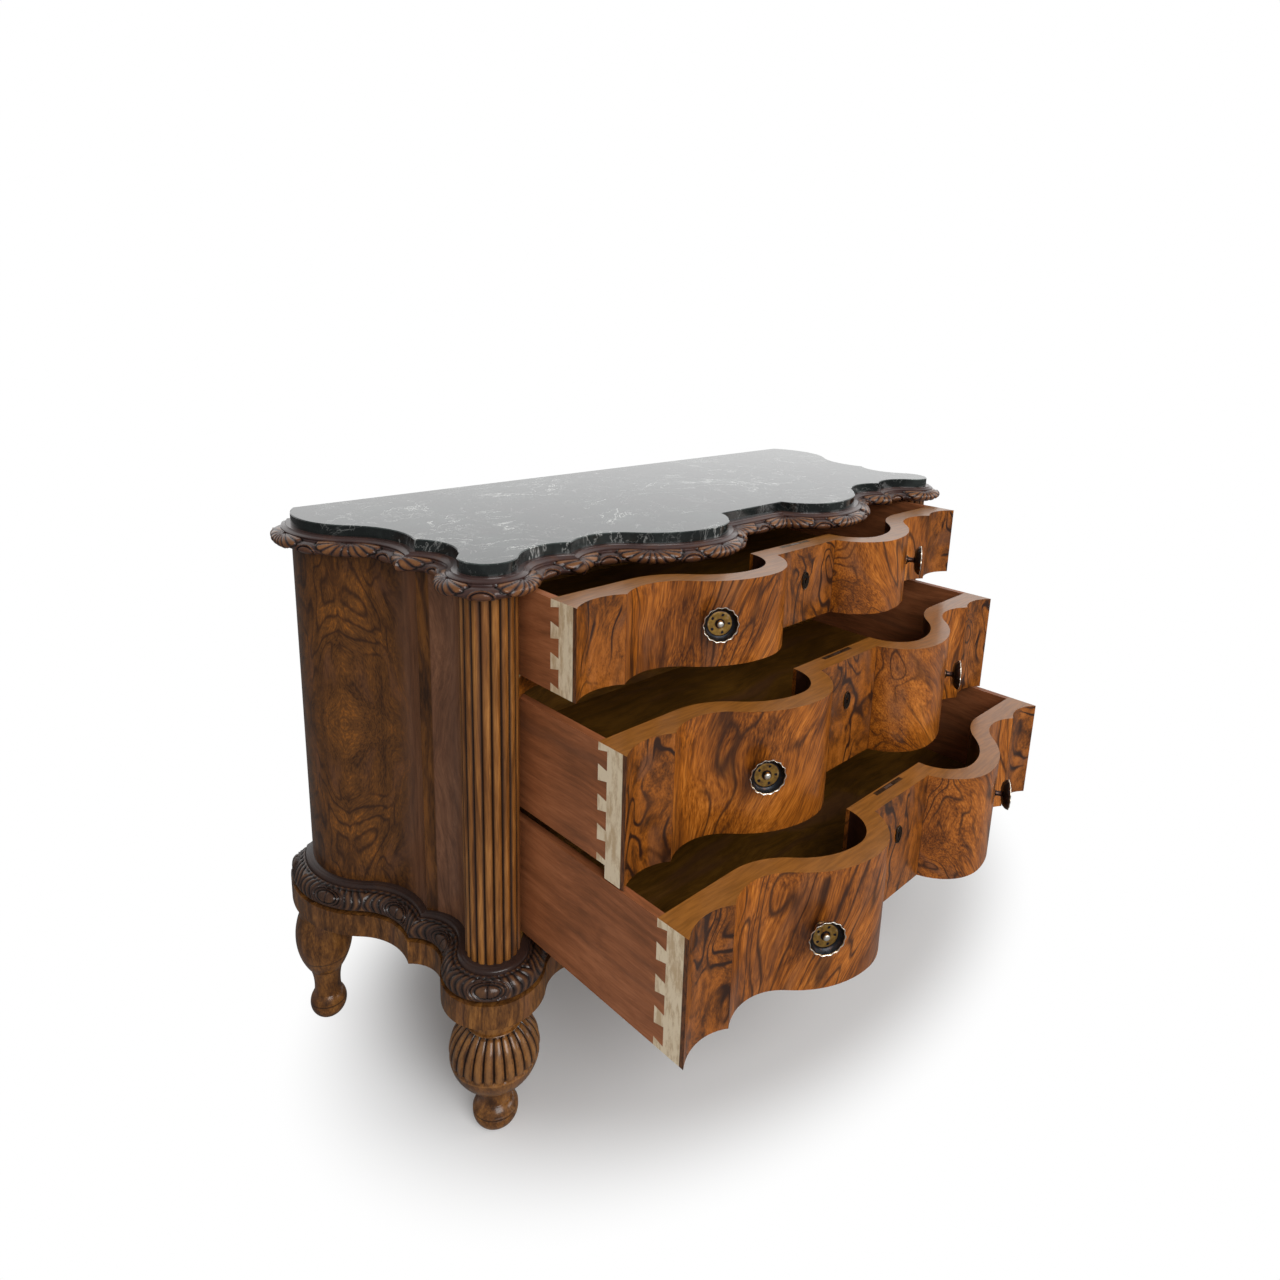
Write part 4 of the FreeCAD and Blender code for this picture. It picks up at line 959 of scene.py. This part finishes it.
def keyhole_plate(drawer, material):
    """An oval plate with a raised rim round a real keyhole."""
    name = f"{drawer}_drawer_keyhole_plate"
    low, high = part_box(name)
    middle = (low + high) / 2 / MM
    half_x, half_z = (high.x - low.x) / 2 / MM, (high.z - low.z) / 2 / MM
    seat, face = high.y / MM, low.y / MM
    angles = np.linspace(0, 2 * math.pi, 96, endpoint=False)
    hole = np.array([keyhole_reach(angle) for angle in angles])
    rows = []
    marks = []
    # The rows' last marks fall to 0 down the keyhole's walls: painted shade inside the hole.
    for share, y, mark in ((1.0, seat, 0.2), (1.0, face + 0.4, 0.6), (0.94, face - 0.5, 0.9),
                           (0.84, face - 0.3, 0.7), (0.76, face + 0.3, 0.1), (0.5, face + 0.2, 0.5),
                           (0.0, face + 0.2, 0.4), (0.0, seat + 2.0, 0.0)):
        x = share * half_x * np.cos(angles) + (1 - share) * hole * np.cos(angles)
        z = share * half_z * np.sin(angles) + (1 - share) * hole * np.sin(angles)
        rows.append(np.column_stack([middle.x + x, 0 * x + y, middle.z + z]))
        marks.append(0 * angles + mark)
    faces = ring_faces(len(rows), len(angles), False, True)
    new_piece(f"oval_{name}", np.concatenate(rows), faces, material, f"{drawer}_drawer", name,
              marks, 40)


def dress(material, *names):
    for name in names:
        mesh = nodes[name].data
        mesh.materials.clear()
        mesh.materials.append(material)


def opening(drawer):
    """How far a drawer stands open as it is stored, in metres."""
    return LOBE_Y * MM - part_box(f"{drawer}_drawer_front")[0].y


def both(name):
    return [f"{name}_{side}" for side, _ in SIDES]


mouldings(carved("top carving", ((0.02, (0.008, 0.004, 0.003)), (0.34, (0.060, 0.030, 0.026)),
                                 (0.54, (0.125, 0.046, 0.016)), (0.85, (0.320, 0.140, 0.048)))),
          carved("base carving", ((0.02, (0.006, 0.004, 0.003)), (0.34, (0.036, 0.018, 0.014)),
                                  (0.54, (0.058, 0.026, 0.014)), (0.80, (0.200, 0.090, 0.034)))))
feet = foot_wood("gadrooned walnut")
for side, sign in SIDES:
    front_foot(side, sign, feet)
brass = metal("aged brass", ((0.16, (0.035, 0.037, 0.042)), (0.40, (0.150, 0.080, 0.060)),
                             (0.66, (0.620, 0.360, 0.085)), (1.0, (0.900, 0.870, 0.800))), 0.40)
plates = metal("dark plate", ((0.25, (0.012, 0.010, 0.009)), (0.80, (0.090, 0.070, 0.050))), 0.42)
iron = plain_metal("lock iron", (0.050, 0.034, 0.020), (0.150, 0.095, 0.048), 0.5)
steel = plain_metal("bolt steel", (0.16, 0.15, 0.14), (0.30, 0.29, 0.27), 0.38)
bottoms = wood("drawer bottom wood", OLIVE, 0.25, (0.12, 1, 1), (4, 2, 6), 0.5, 0.0)
sides = wood("drawer side wood", RED_SIDE, 0.12, (1, 0.08, 1), (1, 7, 3), 0.5, 0.0, 0.04)
for number, drawer in enumerate(DRAWERS):
    opened = opening(drawer)
    knobs(drawer, opened, brass)
    keyhole_plate(drawer, plates)
    shift = (number * 2.3, number * 1.7, number * 5.1)
    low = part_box(f"{drawer}_drawer_front")[0].z
    veneer = drawer_front(f"{drawer} drawer veneer", shift, opened, low)
    dress(veneer, f"{drawer}_drawer_front")
    dress(sides, *both(f"{drawer}_drawer_side"))
    dress(bottoms, f"{drawer}_drawer_back", f"{drawer}_drawer_bottom")
    dress(iron, f"{drawer}_drawer_lock_case")
    dress(steel, f"{drawer}_drawer_lock_bolt")
dress(marble("dark marble"), "marble_top")
inner = wood("inner wood", OLIVE, 0.2, (0.1, 1, 1), (2, 2, 2), 0.6, 0.0)
dress(inner, "sub_top_board", "back_panel", "lower_divider", "bottom_board", "drawer_guides", "plinth_rear",
      *both("rear_post"))
panel_low, panel_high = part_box("side_panel_left")
dress(book_matched("side walnut", (panel_low + panel_high) / 2), *both("side_panel"))
dress(corner_wood("corner veneer"), *both("corner_post"))
dress(reeded("reeded walnut"), *both("reeded_column"))
dress(rail_wood("rail veneer"), "upper_divider")
dress(wood("plinth walnut", PLINTH, 0.6, (1, 1, 0.22), (3, 2, 1)), "plinth_front", *both("plinth"))
dress(turned_wood("plain foot walnut", REAR_FOOT_LINES), *both("foot_rear"))

# The photograph's camera, as solved from the chest's straight edges.
CAMERA_PLACE = (-1.2571, -1.0342, 1.332)
CAMERA_YAW = 0.785512914
CAMERA_PITCH = 0.235716377
CAMERA_ROLL = -0.0341510781
CAMERA_LENS = 24.27
CAMERA_SHIFT = (-0.01795, -0.0861)
CAMERA_SENSOR = 36.0
# The floor's width, and how much it glows where the camera sees it.
FLOOR_SIZE = 40.0
FLOOR_LIFT = 0.04
# The shadow shows inside an ellipse on the floor, and fades between two shares of it.
SHADOW_MIDDLE = (0.15, 0.15)
SHADOW_HALF = (0.95, 0.60)
SHADOW_FADE = (0.74, 1.08)
# The world's strength as a light, as polish mirrors it, and in its bright part, with the way there.
WORLD_LIGHT = 0.32
WORLD_MIRRORED = 0.28
WORLD_BRIGHT = 1.3
WORLD_BRIGHT_WAY = (0.7, 0.7, 0.0)
# The point that both lamps face.
LIT_POINT = (0, 0, 0.6)


def set_camera():
    """Puts the camera where the photograph was taken from."""
    level_share = math.cos(CAMERA_PITCH)
    forward = Vector((math.sin(CAMERA_YAW) * level_share, math.cos(CAMERA_YAW) * level_share,
                      -math.sin(CAMERA_PITCH)))
    level_right = Vector((math.cos(CAMERA_YAW), -math.sin(CAMERA_YAW), 0))
    level_down = forward.cross(level_right)
    right = math.cos(CAMERA_ROLL) * level_right + math.sin(CAMERA_ROLL) * level_down
    down = math.cos(CAMERA_ROLL) * level_down - math.sin(CAMERA_ROLL) * level_right
    lens = bpy.data.cameras.new("photo camera")
    lens.sensor_width = CAMERA_SENSOR
    lens.lens = CAMERA_LENS
    lens.shift_x, lens.shift_y = CAMERA_SHIFT
    camera = bpy.data.objects.new("photo camera", lens)
    turn = Matrix((right, -down, -forward)).transposed()
    camera.matrix_world = Matrix.Translation(CAMERA_PLACE) @ turn.to_4x4()
    bpy.context.scene.collection.objects.link(camera)
    bpy.context.scene.camera = camera


def area_light(name, place, size, power):
    """A square lamp turned towards the lit point."""
    lamp = bpy.data.lights.new(name, "AREA")
    lamp.size = size
    lamp.energy = power
    light = bpy.data.objects.new(name, lamp)
    light.location = place
    light.rotation_euler = (Vector(LIT_POINT) - Vector(place)).to_track_quat("-Z", "Y").to_euler()
    bpy.context.scene.collection.objects.link(light)


def set_world():
    """White where it is seen, grey as a source of light, and mirrored brightest behind the chest."""
    world = bpy.data.worlds.new("studio")
    bpy.context.scene.world = world
    world.use_nodes = True
    graph = Nodes(world.node_tree)
    path = graph.add("ShaderNodeLightPath").outputs
    way = graph.add("ShaderNodeTexCoord").outputs["Generated"]
    product = graph.add("ShaderNodeVectorMath", operation="DOT_PRODUCT")
    behind = graph.fill(product, {0: way, 1: WORLD_BRIGHT_WAY})["Value"]
    mirror = graph.fill(graph.add("ShaderNodeMapRange"),
                        {"Value": behind, "From Min": 0.2, "From Max": 0.8,
                         "To Min": WORLD_MIRRORED, "To Max": WORLD_BRIGHT})["Result"]
    lit = graph.fill(graph.add("ShaderNodeMix"),
                     {"Factor": path["Is Glossy Ray"], "A": WORLD_LIGHT, "B": mirror})["Result"]
    seen = graph.fill(graph.add("ShaderNodeMix"),
                      {"Factor": path["Is Camera Ray"], "A": lit, "B": 1.0})["Result"]
    graph.fill(graph.tree.nodes["Background"], {"Color": (1, 1, 1, 1), "Strength": seen})


def floor():
    """A pale floor with the chest's shadow, which turns into the white of the world away from the chest."""
    graph = Graph("floor")
    x, y, _ = graph.split(graph.place)
    aside = graph.math("DIVIDE", graph.minus(x, SHADOW_MIDDLE[0]), SHADOW_HALF[0])
    ahead = graph.math("DIVIDE", graph.minus(y, SHADOW_MIDDLE[1]), SHADOW_HALF[1])
    square = graph.plus(graph.times(aside, aside), graph.times(ahead, ahead))
    far = graph.math("SQRT", square)
    path = graph.add("ShaderNodeLightPath")
    seen = path.outputs["Is Camera Ray"]
    colour = graph.mix(path.outputs["Is Glossy Ray"], (0.80, 0.80, 0.80), (0.26, 0.26, 0.26))
    graph.finish(colour, 0.9, shine=0.0)
    lift = graph.times(seen, FLOOR_LIFT)
    shaded = graph.fill(graph.shader, {"Emission Color": (1, 1, 1, 1), "Emission Strength": lift})[0]
    white = graph.fill(graph.add("ShaderNodeEmission"), {"Color": (1, 1, 1, 1)})[0]
    away = graph.times(seen, graph.step(far, *SHADOW_FADE))
    surface = graph.fill(graph.add("ShaderNodeMixShader"), {0: away, 1: shaded, 2: white})[0]
    graph.put(graph.tree.nodes["Material Output"].inputs["Surface"], surface)
    half = FLOOR_SIZE / 2
    mesh = bpy.data.meshes.new("floor")
    corners = [(-half, -half, 0), (half, -half, 0), (half, half, 0), (-half, half, 0)]
    mesh.from_pydata(corners, [], [(0, 1, 2, 3)])
    mesh.materials.append(graph.material)
    plane = bpy.data.objects.new("floor", mesh)
    bpy.context.scene.collection.objects.link(plane)


set_camera()
set_world()
floor()
area_light("window", place=(-1.2, -3.4, 3.0), size=2.6, power=118)
area_light("fill", place=(2.6, -2.6, 1.9), size=2.0, power=40)
bpy.context.scene.view_settings.view_transform = "Standard"
